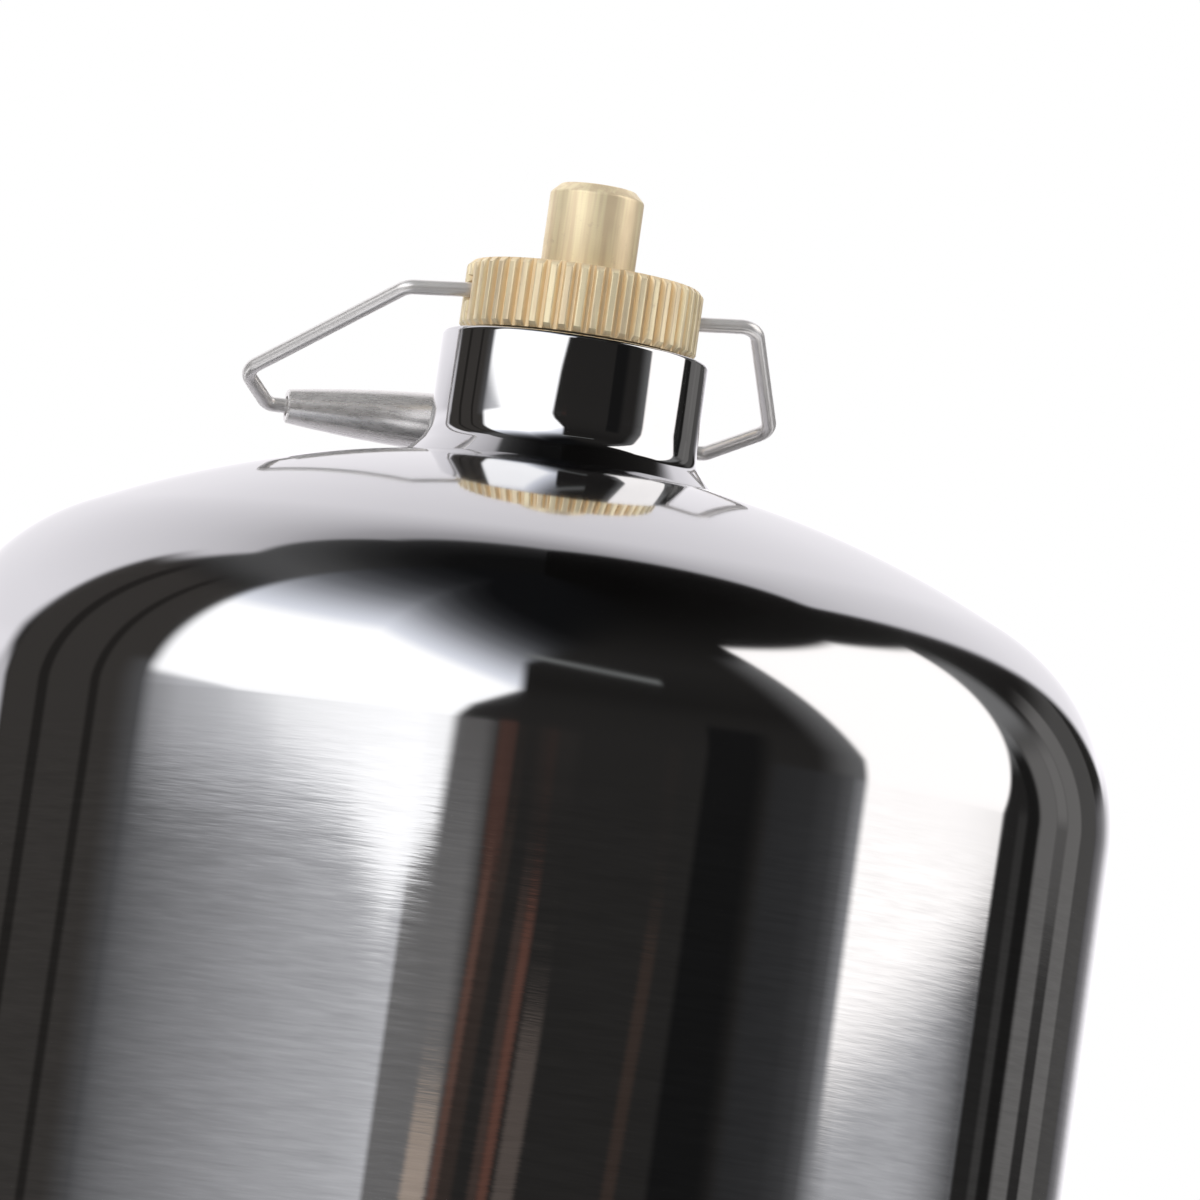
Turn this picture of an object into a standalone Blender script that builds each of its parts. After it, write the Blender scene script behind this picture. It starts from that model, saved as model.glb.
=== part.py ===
"""Refillable gas canister: a round-shouldered steel vessel with a screwed brass valve and a wire bail.

Metres, +Z up. The origin is on the vessel's axis at the floor, under the foot ring.
The bail's hinge runs along X, and at rest the bail leans back to +Y against the neck collar.
"""

import math

import bmesh
import bpy
from mathutils import Matrix, Vector

# General
SEAT_GAP = 0.0003
THREAD_GAP = 0.0003

# Vessel sheet: two deep-drawn halves with dished heads
BODY_RADIUS = 0.0800
SHEET = 0.0015
CROWN_RADIUS = 0.1396
KNUCKLE_RADIUS = 0.0300
VESSEL_HEIGHT = 0.1860
FLOOR_CLEARANCE = 0.0100
SEAM_HEIGHT = 0.0780
SEAM_OPENING = 0.0024
JOGGLE_LENGTH = 0.0080
JOGGLE_BEND_LOW = 0.0030
JOGGLE_BEND_HIGH = 0.0008

# Foot ring, welded under the bottom head
FOOT_RADIUS = 0.0620
FOOT_WALL = 0.0020
FOOT_LIP_WIDTH = 0.0080
FOOT_EDGE_CHAMFER = 0.0006
VENT_RADIUS = 0.0045
VENT_HEIGHT = 0.0125
VENT_ANGLES = (math.radians(45), math.radians(135))

# Fillet welds: the leg of each, and where the bead's face bends, as shares of the leg
FOOT_WELD_LEG = 0.0025
NECK_WELD_LEG = 0.0030
BEAD_OUT = 0.4
BEAD_DOWN = 0.5

# Neck collar, welded into the top head
COLLAR_RADIUS = 0.0180
COLLAR_RISE = 0.0156
COLLAR_RIM_CHAMFER = 0.0006
COVE_RADIUS = 0.0040
COVE_TURN = math.radians(45)
FLARE_RADIUS = 0.0207
FLARE_LIP = 0.0002
COLLAR_THREAD_RADIUS = 0.0120
COLLAR_SHOULDER_DEPTH = 0.0109
SPIGOT_RADIUS = 0.0135
SPIGOT_LENGTH = 0.0240
SPIGOT_BORE_RADIUS = 0.0086

# Knurled gland ring and the washer that it squeezes on the collar
WASHER_THICKNESS = 0.0005
WASHER_RADIUS = 0.0137
RING_RADIUS = 0.0160
RING_HEIGHT = 0.0092
RING_RECESS = 0.0006
RING_CHAMFER = 0.0007
RING_BORE_RADIUS = 0.0068
TOOTH_COUNT = 48
TOOTH_DEPTH = 0.0008
TOOTH_CREST_SHARE = 0.40
TOOTH_ROOT_SHARE = 0.24
PIVOT_HOLE_RADIUS = 0.0018
PIVOT_HOLE_DEPTH = 0.0054
PIVOT_HEIGHT = 0.0052

# Valve body, clamped by the gland ring
FLANGE_RADIUS = 0.0114
FLANGE_THICKNESS = 0.0030
GASKET_THICKNESS = 0.0010
GASKET_BORE_RADIUS = 0.0089
SHANK_RADIUS = 0.0064
SHANK_SINK = 0.0004
STUB_RADIUS = 0.0045
STUB_HEIGHT = 0.0092
STUB_CHAMFER = 0.0005
PORT_RADIUS = 0.0016
CHAMBER_RADIUS = 0.0044
SEAT_DEPTH = 0.0027
TAIL_LENGTH = 0.0207

# Valve poppet, its seal, spring and retainer
STEM_RADIUS = 0.0012
STEM_RECESS = 0.0010
POPPET_RADIUS = 0.0036
POPPET_THICKNESS = 0.0015
POPPET_TRAVEL = 0.0015
POPPET_SEAL_RADIUS = 0.0034
POPPET_SEAL_THICKNESS = 0.0007
SPRING_RADIUS = 0.0026
SPRING_WIRE = 0.0007
SPRING_TURNS = 8
SPRING_POINTS_PER_TURN = 10
SPRING_BEVEL_SEGMENTS = 1
RETAINER_THICKNESS = 0.0025
RETAINER_RECESS = 0.0005
FLOW_HOLE_RADIUS = 0.0006
FLOW_HOLE_COUNT = 4

# Filter, tube nut and dip tube under the valve
FILTER_RADIUS = 0.0061
FILTER_THICKNESS = 0.0010
NUT_RADIUS = 0.0082
NUT_OVERLAP = 0.0050
NUT_FLOOR = 0.0020
TUBE_RADIUS = 0.0020
TUBE_BORE_RADIUS = 0.0014
TUBE_FLARE_RADIUS = 0.0034
TUBE_FLARE_THICKNESS = 0.0008
TUBE_END_HEIGHT = 0.0240

# Dust cap and its gasket
CAP_RADIUS = 0.00635
CAP_HEIGHT = 0.01225
CAP_CHAMFER = 0.0013
CAP_EDGE_CHAMFER = 0.0003
CAP_TOP = 0.00215
CAP_GASKET_THICKNESS = 0.0006

# Wire bail: sizes across and down its own plane, the hinge being the zero line
WIRE_RADIUS = 0.0010
WIRE_BEND_RADIUS = 0.0026
GRIP_BEND_RADIUS = 0.0020
PIN_END_RADIUS = 0.0112
PIN_DROP = 0.00045
SHOULDER_HALF_WIDTH = 0.02395
CORNER_HALF_WIDTH = 0.0363
CORNER_DROP = 0.02085
GRIP_DROP = 0.02725
WIRE_STRAIGHT_HALF = 0.0303
BAIL_LEAN = math.radians(4.6)
BAIL_SHEAR = 0.27

# Barrel grip on the bail
GRIP_HALF_LENGTH = 0.0277
GRIP_MIDDLE_RADIUS = 0.0041
GRIP_END_RADIUS = 0.0023
GRIP_RUNNING_GAP = 0.0004
GRIP_EDGE_CHAMFER = 0.0002

# Facet counts of turned and bent pieces
BODY_STEPS = 56
COLLAR_STEPS = 40
VALVE_STEPS = 28
INNER_STEPS = 20
CROWN_SEGMENTS = 6
KNUCKLE_SEGMENTS = 6
INNER_CROWN_SEGMENTS = 3
INNER_KNUCKLE_SEGMENTS = 4
COVE_SEGMENTS = 5
GRIP_SEGMENTS = 8
BEND_SEGMENTS = 4
WIRE_BEVEL_SEGMENTS = 2
HOLE_STEPS = 16
SMALL_HOLE_STEPS = 8
SMOOTH_ANGLE = math.radians(32)
AXIS_MERGE = 0.000001

# Heights that follow from the sizes above
APEX_Z = FLOOR_CLEARANCE + VESSEL_HEIGHT
COLLAR_TOP_Z = APEX_Z + COLLAR_RISE
WASHER_Z = COLLAR_TOP_Z + SEAT_GAP
RECESS_Z = WASHER_Z + WASHER_THICKNESS + SEAT_GAP
RING_Z = RECESS_Z - RING_RECESS
RING_TOP_Z = RING_Z + RING_HEIGHT
SHOULDER_Z = COLLAR_TOP_Z - COLLAR_SHOULDER_DEPTH
GASKET_Z = SHOULDER_Z + SEAT_GAP
FLANGE_Z = GASKET_Z + GASKET_THICKNESS + SEAT_GAP
FLANGE_TOP_Z = FLANGE_Z + FLANGE_THICKNESS
SHANK_TOP_Z = RING_TOP_Z - SHANK_SINK
STUB_TOP_Z = SHANK_TOP_Z + STUB_HEIGHT
VALVE_SEAT_Z = FLANGE_Z - SEAT_DEPTH
TAIL_Z = FLANGE_Z - TAIL_LENGTH
RETAINER_Z = TAIL_Z + RETAINER_RECESS
RETAINER_TOP_Z = RETAINER_Z + RETAINER_THICKNESS
POPPET_SEAL_Z = VALVE_SEAT_Z - SEAT_GAP - POPPET_SEAL_THICKNESS
POPPET_TOP_Z = POPPET_SEAL_Z - SEAT_GAP
POPPET_Z = POPPET_TOP_Z - POPPET_THICKNESS
STEM_TOP_Z = STUB_TOP_Z - STEM_RECESS
STEM_BOTTOM_Z = TAIL_Z + POPPET_TRAVEL + SEAT_GAP
SPRING_TOP_Z = POPPET_Z - SEAT_GAP
SPRING_Z = RETAINER_TOP_Z + SEAT_GAP
FILTER_Z = TAIL_Z - SEAT_GAP - FILTER_THICKNESS
FLARE_Z = FILTER_Z - SEAT_GAP - TUBE_FLARE_THICKNESS
NUT_FLOOR_Z = FLARE_Z - SEAT_GAP
NUT_Z = NUT_FLOOR_Z - NUT_FLOOR
CAP_Z = SHANK_TOP_Z + SEAT_GAP
CAP_TOP_Z = CAP_Z + CAP_HEIGHT
CAP_GASKET_Z = CAP_TOP_Z - CAP_TOP - SEAT_GAP - CAP_GASKET_THICKNESS
PIVOT_Z = RING_Z + PIVOT_HEIGHT

OBJECT_NAME = "refillable_gas_canister"


def clear_scene():
    for obj in list(bpy.data.objects):
        bpy.data.objects.remove(obj, do_unlink=True)


def new_collection(name):
    collection = bpy.data.collections.new(name)
    bpy.context.scene.collection.children.link(collection)
    return collection


def make_material(name, colour, metallic, roughness):
    material = bpy.data.materials.new(name)
    material.use_nodes = True
    material.diffuse_color = (*colour, 1.0)
    shader = material.node_tree.nodes["Principled BSDF"]
    shader.inputs["Base Color"].default_value = (*colour, 1.0)
    shader.inputs["Metallic"].default_value = metallic
    shader.inputs["Roughness"].default_value = roughness
    return material


def make_materials():
    return {
        "polished_steel": make_material("polished_steel", (0.77, 0.77, 0.79), 1.0, 0.06),
        "brushed_steel": make_material("brushed_steel", (0.60, 0.60, 0.61), 1.0, 0.30),
        "weld_steel": make_material("weld_steel", (0.48, 0.47, 0.46), 1.0, 0.45),
        "wire_steel": make_material("wire_steel", (0.66, 0.65, 0.65), 1.0, 0.18),
        "brass": make_material("brass", (0.82, 0.63, 0.33), 1.0, 0.24),
        "spring_steel": make_material("spring_steel", (0.55, 0.55, 0.57), 1.0, 0.25),
        "black_rubber": make_material("black_rubber", (0.02, 0.02, 0.022), 0.0, 0.65),
        "white_polymer": make_material("white_polymer", (0.82, 0.81, 0.78), 0.0, 0.40),
        "sintered_bronze": make_material("sintered_bronze", (0.42, 0.30, 0.18), 1.0, 0.70),
    }


def shade_round(mesh):
    mesh.shade_smooth()
    mesh.set_sharp_from_angle(angle=SMOOTH_ANGLE)


def as_mesh_object(source, collection):
    """Replaces an object by the mesh that its curve or modifiers make."""
    bpy.context.view_layer.update()
    graph = bpy.context.evaluated_depsgraph_get()
    mesh = bpy.data.meshes.new_from_object(source.evaluated_get(graph))
    name = source.name
    place = source.matrix_world.copy()
    bpy.data.objects.remove(source, do_unlink=True)
    mesh.name = name
    work = bmesh.new()
    work.from_mesh(mesh)
    bmesh.ops.remove_doubles(work, verts=work.verts, dist=AXIS_MERGE)
    work.to_mesh(mesh)
    work.free()
    shade_round(mesh)
    obj = bpy.data.objects.new(name, mesh)
    obj.matrix_world = place
    collection.objects.link(obj)
    return obj


def signed_area(profile):
    shifted = profile[1:] + profile[:1]
    return 0.5 * sum(a[0] * b[1] - b[0] * a[1] for a, b in zip(profile, shifted))


def turned(name, profile, datum_z, steps, material, collection):
    """Turns a profile of (radius, height) points about Z. Heights are world heights.

    A profile that starts and ends on the axis stays open there.
    """
    if signed_area(profile) > 0:
        profile = profile[::-1]
    on_axis = profile[0][0] == 0.0 and profile[-1][0] == 0.0
    vertices = [(radius, 0.0, height - datum_z) for radius, height in profile]
    edges = [(i, i + 1) for i in range(len(vertices) - 1)]
    if not on_axis:
        edges.append((len(vertices) - 1, 0))
    mesh = bpy.data.meshes.new(name)
    mesh.from_pydata(vertices, edges, [])
    obj = bpy.data.objects.new(name, mesh)
    obj.location.z = datum_z
    collection.objects.link(obj)
    screw = obj.modifiers.new("Turn", "SCREW")
    screw.angle = math.tau
    screw.steps = steps
    screw.render_steps = steps
    screw.use_merge_vertices = True
    screw.merge_threshold = AXIS_MERGE
    obj = as_mesh_object(obj, collection)
    if material:
        obj.data.materials.append(material)
    return obj


def arc(centre, radius, start, end, segments):
    """Points of an arc, from the start angle to the end angle, both in radians."""
    points = []
    for i in range(segments + 1):
        angle = start + (end - start) * i / segments
        points.append((centre[0] + radius * math.cos(angle), centre[1] + radius * math.sin(angle)))
    return points


def knuckle_angle():
    """Angle from the axis at which the crown meets the knuckle."""
    return math.asin((BODY_RADIUS - KNUCKLE_RADIUS) / (CROWN_RADIUS - KNUCKLE_RADIUS))


def head_depth():
    return CROWN_RADIUS - (CROWN_RADIUS - KNUCKLE_RADIUS) * math.cos(knuckle_angle())


def head_profile(inset, start_radius, crown_segments, knuckle_segments):
    """A dished head as (radius, drop below the apex) from start_radius out to the cylinder.

    Inset moves the surface inwards from the outer face, square to it.
    """
    crown = CROWN_RADIUS - inset
    start = math.asin(start_radius / crown)
    meet = knuckle_angle()
    points = []
    for i in range(crown_segments + 1):
        angle = start + (meet - start) * i / crown_segments
        points.append((crown * math.sin(angle), CROWN_RADIUS - crown * math.cos(angle)))
    for i in range(1, knuckle_segments + 1):
        angle = meet + (math.pi / 2 - meet) * i / knuckle_segments
        radius = BODY_RADIUS - KNUCKLE_RADIUS + (KNUCKLE_RADIUS - inset) * math.sin(angle)
        points.append((radius, head_depth() - (KNUCKLE_RADIUS - inset) * math.cos(angle)))
    return points


def crown_drop(radius, inset=0.0):
    """How far the crown lies below its apex at this radius, on the face moved in by inset."""
    crown = CROWN_RADIUS - inset
    return CROWN_RADIUS - math.sqrt(crown * crown - radius * radius)


def head_surface_z(radius):
    return APEX_Z - crown_drop(radius)


def inner_head_z(radius):
    return APEX_Z - crown_drop(radius, SHEET)


def bottom_surface_z(radius):
    return FLOOR_CLEARANCE + crown_drop(radius)


def cutter(obj, cutters):
    for collection in list(obj.users_collection):
        collection.objects.unlink(obj)
    cutters.objects.link(obj)
    obj.hide_render = True
    obj.display_type = "WIRE"
    return obj


def boolean(obj, tool, operation):
    modifier = obj.modifiers.new(f"{operation.title()} {tool.name}", "BOOLEAN")
    modifier.operation = operation
    modifier.solver = "EXACT"
    modifier.object = tool


def rod(name, radius, start, end, steps, collection):
    """A plain cylinder between two points."""
    start = Vector(start)
    end = Vector(end)
    mesh = bpy.data.meshes.new(name)
    work = bmesh.new()
    bmesh.ops.create_cone(
        work,
        cap_ends=True,
        segments=steps,
        radius1=radius,
        radius2=radius,
        depth=(end - start).length,
    )
    work.to_mesh(mesh)
    work.free()
    obj = bpy.data.objects.new(name, mesh)
    turn = (end - start).to_track_quat("Z", "Y").to_matrix().to_4x4()
    obj.matrix_world = Matrix.Translation((start + end) / 2) @ turn
    collection.objects.link(obj)
    return obj


def upper_shell(parts, materials):
    hole = SPIGOT_RADIUS + SEAT_GAP
    edge = SEAM_HEIGHT + SEAM_OPENING / 2
    outer = [(r, APEX_Z - d) for r, d in head_profile(0.0, hole, CROWN_SEGMENTS, KNUCKLE_SEGMENTS)]
    inner = [
        (r, APEX_Z - d)
        for r, d in head_profile(SHEET, hole, INNER_CROWN_SEGMENTS, INNER_KNUCKLE_SEGMENTS)
    ]
    profile = outer + [(BODY_RADIUS, edge), (BODY_RADIUS - SHEET, edge)] + inner[::-1]
    return turned("upper_shell", profile, APEX_Z, BODY_STEPS, materials["polished_steel"], parts)


def lower_shell(parts, materials):
    edge = SEAM_HEIGHT - SEAM_OPENING / 2
    lip_outer = BODY_RADIUS - SHEET - SEAT_GAP
    lip_inner = lip_outer - SHEET
    lip_top = SEAM_HEIGHT + SEAM_OPENING / 2 + JOGGLE_LENGTH
    outer = head_profile(0.0, 0.0, CROWN_SEGMENTS, KNUCKLE_SEGMENTS)
    inner = head_profile(SHEET, 0.0, INNER_CROWN_SEGMENTS, INNER_KNUCKLE_SEGMENTS)
    profile = [(r, FLOOR_CLEARANCE + d) for r, d in inner]
    profile[0] = (0.0, profile[0][1])
    profile += [
        (BODY_RADIUS - SHEET, edge - JOGGLE_BEND_LOW),
        (lip_inner, edge - JOGGLE_BEND_HIGH),
        (lip_inner, lip_top),
        (lip_outer, lip_top),
        (lip_outer, edge),
        (BODY_RADIUS, edge),
    ]
    profile += [(r, FLOOR_CLEARANCE + d) for r, d in outer[::-1]]
    profile[-1] = (0.0, FLOOR_CLEARANCE)
    return turned(
        "lower_shell", profile, FLOOR_CLEARANCE, BODY_STEPS, materials["brushed_steel"], parts
    )


def girth_weld(parts, materials):
    """The bead that fills the seam over the joggle, ground flush with the wall."""
    low = SEAM_HEIGHT - SEAM_OPENING / 2 + SEAT_GAP
    high = SEAM_HEIGHT + SEAM_OPENING / 2 - SEAT_GAP
    inside = BODY_RADIUS - SHEET
    profile = [(inside, low), (inside, high), (BODY_RADIUS, high), (BODY_RADIUS, low)]
    return turned("girth_weld", profile, SEAM_HEIGHT, BODY_STEPS, materials["weld_steel"], parts)


def foot_ring(parts, cutters, materials):
    inside = FOOT_RADIUS - FOOT_WALL
    lip = FOOT_RADIUS - FOOT_LIP_WIDTH
    profile = [
        (FOOT_RADIUS, bottom_surface_z(FOOT_RADIUS) - SEAT_GAP),
        (FOOT_RADIUS, FOOT_EDGE_CHAMFER),
        (FOOT_RADIUS - FOOT_EDGE_CHAMFER, 0.0),
        (lip, 0.0),
        (lip, FOOT_WALL),
        (inside, FOOT_WALL),
        (inside, bottom_surface_z(inside) - SEAT_GAP),
    ]
    ring = turned("foot_ring", profile, 0.0, BODY_STEPS, materials["brushed_steel"], parts)
    reach = FOOT_RADIUS + FOOT_WALL
    for index, angle in enumerate(VENT_ANGLES):
        side = Vector((math.cos(angle), math.sin(angle), 0.0)) * reach
        height = Vector((0.0, 0.0, VENT_HEIGHT))
        vent = rod(f"vent_cutter_{index}", VENT_RADIUS, height - side, height + side, HOLE_STEPS, parts)
        boolean(ring, cutter(vent, cutters), "DIFFERENCE")
    return ring


def fillet_profile(inner, leg, surface_z):
    """A fillet weld's section, below a surface and outside a wall of radius inner."""
    top = surface_z(inner) - SEAT_GAP
    return [
        (inner, top),
        (inner + leg, surface_z(inner + leg) - SEAT_GAP),
        (inner + BEAD_OUT * leg, top - BEAD_DOWN * leg),
        (inner, top - leg),
    ]


def foot_weld(parts, materials):
    """The fillet weld round the outside of the foot ring, under the bottom head."""
    profile = fillet_profile(FOOT_RADIUS + SEAT_GAP, FOOT_WELD_LEG, bottom_surface_z)
    top = profile[0][1]
    return turned("foot_weld", profile, top, BODY_STEPS, materials["weld_steel"], parts)


def neck_collar(parts, materials):
    bend = COLLAR_RADIUS + COVE_RADIUS * (1 - math.cos(COVE_TURN))
    lip_z = head_surface_z(FLARE_RADIUS) + SEAT_GAP + FLARE_LIP
    bend_z = lip_z + (FLARE_RADIUS - bend) / math.tan(COVE_TURN)
    centre = (COLLAR_RADIUS + COVE_RADIUS, bend_z + COVE_RADIUS * math.sin(COVE_TURN))
    cove = arc(centre, COVE_RADIUS, math.pi, math.pi + COVE_TURN, COVE_SEGMENTS)
    under_radii = [FLARE_RADIUS, (FLARE_RADIUS + SPIGOT_RADIUS) / 2, SPIGOT_RADIUS]
    under = [(r, head_surface_z(r) + SEAT_GAP) for r in under_radii]
    profile = [
        (COLLAR_THREAD_RADIUS + COLLAR_RIM_CHAMFER, COLLAR_TOP_Z),
        (COLLAR_RADIUS - COLLAR_RIM_CHAMFER, COLLAR_TOP_Z),
        (COLLAR_RADIUS, COLLAR_TOP_Z - COLLAR_RIM_CHAMFER),
    ]
    profile += cove + [(FLARE_RADIUS, lip_z)] + under
    profile += [
        (SPIGOT_RADIUS, COLLAR_TOP_Z - SPIGOT_LENGTH),
        (SPIGOT_BORE_RADIUS, COLLAR_TOP_Z - SPIGOT_LENGTH),
        (SPIGOT_BORE_RADIUS, SHOULDER_Z),
        (COLLAR_THREAD_RADIUS, SHOULDER_Z),
        (COLLAR_THREAD_RADIUS, COLLAR_TOP_Z - COLLAR_RIM_CHAMFER),
    ]
    return turned(
        "neck_collar", profile, COLLAR_TOP_Z, COLLAR_STEPS, materials["polished_steel"], parts
    )


def neck_weld(parts, materials):
    """The fillet weld round the collar's spigot, on the inside of the top head."""
    profile = fillet_profile(SPIGOT_RADIUS + SEAT_GAP, NECK_WELD_LEG, inner_head_z)
    top = profile[0][1]
    return turned("neck_weld", profile, top, VALVE_STEPS, materials["weld_steel"], parts)


def gland_washer(parts, materials):
    inside = COLLAR_THREAD_RADIUS - THREAD_GAP + SEAT_GAP
    top = WASHER_Z + WASHER_THICKNESS
    profile = [(inside, top), (WASHER_RADIUS, top), (WASHER_RADIUS, WASHER_Z), (inside, WASHER_Z)]
    return turned(
        "gland_washer", profile, WASHER_Z, COLLAR_STEPS, materials["black_rubber"], parts
    )


def toothed_prism(parts):
    """A prism with the outline of the straight knurling, taller than the gland ring."""
    root = RING_RADIUS - TOOTH_DEPTH
    flank = (1.0 - TOOTH_CREST_SHARE - TOOTH_ROOT_SHARE) / 2
    corners = (
        (root, 0.0),
        (RING_RADIUS, flank),
        (RING_RADIUS, flank + TOOTH_CREST_SHARE),
        (root, 2 * flank + TOOTH_CREST_SHARE),
    )
    offset = flank + TOOTH_CREST_SHARE / 2
    low = FLANGE_TOP_Z - RING_CHAMFER - RING_Z
    high = RING_HEIGHT + RING_CHAMFER
    work = bmesh.new()
    outline = []
    for tooth in range(TOOTH_COUNT):
        for radius, share in corners:
            angle = math.tau * (tooth + share - offset) / TOOTH_COUNT
            point = (radius * math.cos(angle), radius * math.sin(angle), low)
            outline.append(work.verts.new(point))
    face = work.faces.new(outline)
    raised = bmesh.ops.extrude_face_region(work, geom=[face])["geom"]
    bmesh.ops.translate(
        work,
        vec=(0.0, 0.0, high - low),
        verts=[item for item in raised if isinstance(item, bmesh.types.BMVert)],
    )
    bmesh.ops.recalc_face_normals(work, faces=work.faces)
    mesh = bpy.data.meshes.new("knurl_cutter")
    work.to_mesh(mesh)
    work.free()
    obj = bpy.data.objects.new("knurl_cutter", mesh)
    obj.location.z = RING_Z
    parts.objects.link(obj)
    return obj


def knurled_ring(parts, cutters, materials):
    """The brass gland: a knurled head with two bail holes, and a threaded skirt in the collar.

    The washer lies in a shallow recess under the head.
    """
    thread = COLLAR_THREAD_RADIUS - THREAD_GAP
    spare = TOOTH_DEPTH
    blank = RING_RADIUS + spare
    slope = RING_CHAMFER + spare
    recess = WASHER_RADIUS + SEAT_GAP
    bottom = FLANGE_TOP_Z + SEAT_GAP
    profile = [
        (RING_BORE_RADIUS, RING_TOP_Z),
        (RING_RADIUS - RING_CHAMFER, RING_TOP_Z),
        (blank, RING_TOP_Z - slope),
        (blank, RING_Z + slope),
        (RING_RADIUS - RING_CHAMFER, RING_Z),
        (recess, RING_Z),
        (recess, RECESS_Z),
        (thread, RECESS_Z),
        (thread, bottom),
        (RING_BORE_RADIUS, bottom),
    ]
    ring = turned("knurled_ring", profile, RING_Z, BODY_STEPS, materials["brass"], parts)
    boolean(ring, cutter(toothed_prism(parts), cutters), "INTERSECT")
    for side in (-1, 1):
        start = (side * (RING_RADIUS - PIVOT_HOLE_DEPTH), 0.0, PIVOT_Z)
        end = (side * (RING_RADIUS + TOOTH_DEPTH), 0.0, PIVOT_Z)
        name = f"pivot_cutter_{'right' if side > 0 else 'left'}"
        hole = rod(name, PIVOT_HOLE_RADIUS, start, end, HOLE_STEPS, parts)
        boolean(ring, cutter(hole, cutters), "DIFFERENCE")
    return ring


def valve_gasket(parts, materials):
    top = GASKET_Z + GASKET_THICKNESS
    profile = [
        (GASKET_BORE_RADIUS, top),
        (FLANGE_RADIUS, top),
        (FLANGE_RADIUS, GASKET_Z),
        (GASKET_BORE_RADIUS, GASKET_Z),
    ]
    return turned("valve_gasket", profile, GASKET_Z, VALVE_STEPS, materials["white_polymer"], parts)


def valve_body(parts, materials):
    profile = [
        (PORT_RADIUS + STUB_CHAMFER, STUB_TOP_Z),
        (STUB_RADIUS - STUB_CHAMFER, STUB_TOP_Z),
        (STUB_RADIUS, STUB_TOP_Z - STUB_CHAMFER),
        (STUB_RADIUS, SHANK_TOP_Z),
        (SHANK_RADIUS, SHANK_TOP_Z),
        (SHANK_RADIUS, FLANGE_TOP_Z),
        (FLANGE_RADIUS, FLANGE_TOP_Z),
        (FLANGE_RADIUS, FLANGE_Z),
        (SHANK_RADIUS, FLANGE_Z),
        (SHANK_RADIUS, TAIL_Z),
        (CHAMBER_RADIUS, TAIL_Z),
        (CHAMBER_RADIUS, VALVE_SEAT_Z),
        (PORT_RADIUS, VALVE_SEAT_Z),
        (PORT_RADIUS, STUB_TOP_Z - STUB_CHAMFER),
    ]
    return turned("valve_body", profile, SHANK_TOP_Z, VALVE_STEPS, materials["brass"], parts)


def valve_poppet(parts, materials):
    profile = [
        (0.0, STEM_TOP_Z),
        (STEM_RADIUS, STEM_TOP_Z),
        (STEM_RADIUS, POPPET_TOP_Z),
        (POPPET_RADIUS, POPPET_TOP_Z),
        (POPPET_RADIUS, POPPET_Z),
        (STEM_RADIUS, POPPET_Z),
        (STEM_RADIUS, STEM_BOTTOM_Z),
        (0.0, STEM_BOTTOM_Z),
    ]
    return turned("valve_poppet", profile, POPPET_Z, INNER_STEPS, materials["spring_steel"], parts)


def poppet_seal(parts, materials):
    inside = STEM_RADIUS + SEAT_GAP
    top = POPPET_SEAL_Z + POPPET_SEAL_THICKNESS
    profile = [
        (inside, top),
        (POPPET_SEAL_RADIUS, top),
        (POPPET_SEAL_RADIUS, POPPET_SEAL_Z),
        (inside, POPPET_SEAL_Z),
    ]
    return turned(
        "poppet_seal", profile, POPPET_SEAL_Z, INNER_STEPS, materials["black_rubber"], parts
    )


def spring_points():
    length = SPRING_TOP_Z - SPRING_Z - SPRING_WIRE
    count = SPRING_TURNS * SPRING_POINTS_PER_TURN
    points = []
    for i in range(count + 1):
        angle = math.tau * i / SPRING_POINTS_PER_TURN
        x = SPRING_RADIUS * math.cos(angle)
        y = SPRING_RADIUS * math.sin(angle)
        points.append(Vector((x, y, SPRING_WIRE / 2 + length * i / count)))
    return points


def least_gap(points, wire, skip):
    """The least gap between a coil's wire and itself, leaving out points within skip of each other."""
    nearest = min(
        (points[i] - points[j]).length
        for i in range(len(points))
        for j in range(i + skip, len(points))
    )
    return nearest - wire


def wire_curve(name, points, radius, bevel_resolution, material, collection):
    """A round wire along these points, with closed ends."""
    data = bpy.data.curves.new(name, "CURVE")
    data.dimensions = "3D"
    data.bevel_depth = radius
    data.bevel_resolution = bevel_resolution
    data.use_fill_caps = True
    spline = data.splines.new("POLY")
    spline.points.add(len(points) - 1)
    for point, place in zip(spline.points, points):
        point.co = (*place, 1.0)
    data.materials.append(material)
    obj = bpy.data.objects.new(name, data)
    collection.objects.link(obj)
    return obj


def valve_spring(parts, materials):
    points = spring_points()
    gap = least_gap(points, SPRING_WIRE, SPRING_POINTS_PER_TURN // 2)
    print(f"valve_spring: least gap to itself {gap * 1000:.2f} mm")
    spring = wire_curve(
        "valve_spring", points, SPRING_WIRE / 2, SPRING_BEVEL_SEGMENTS, materials["spring_steel"], parts
    )
    spring.location.z = SPRING_Z
    return spring


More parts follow.
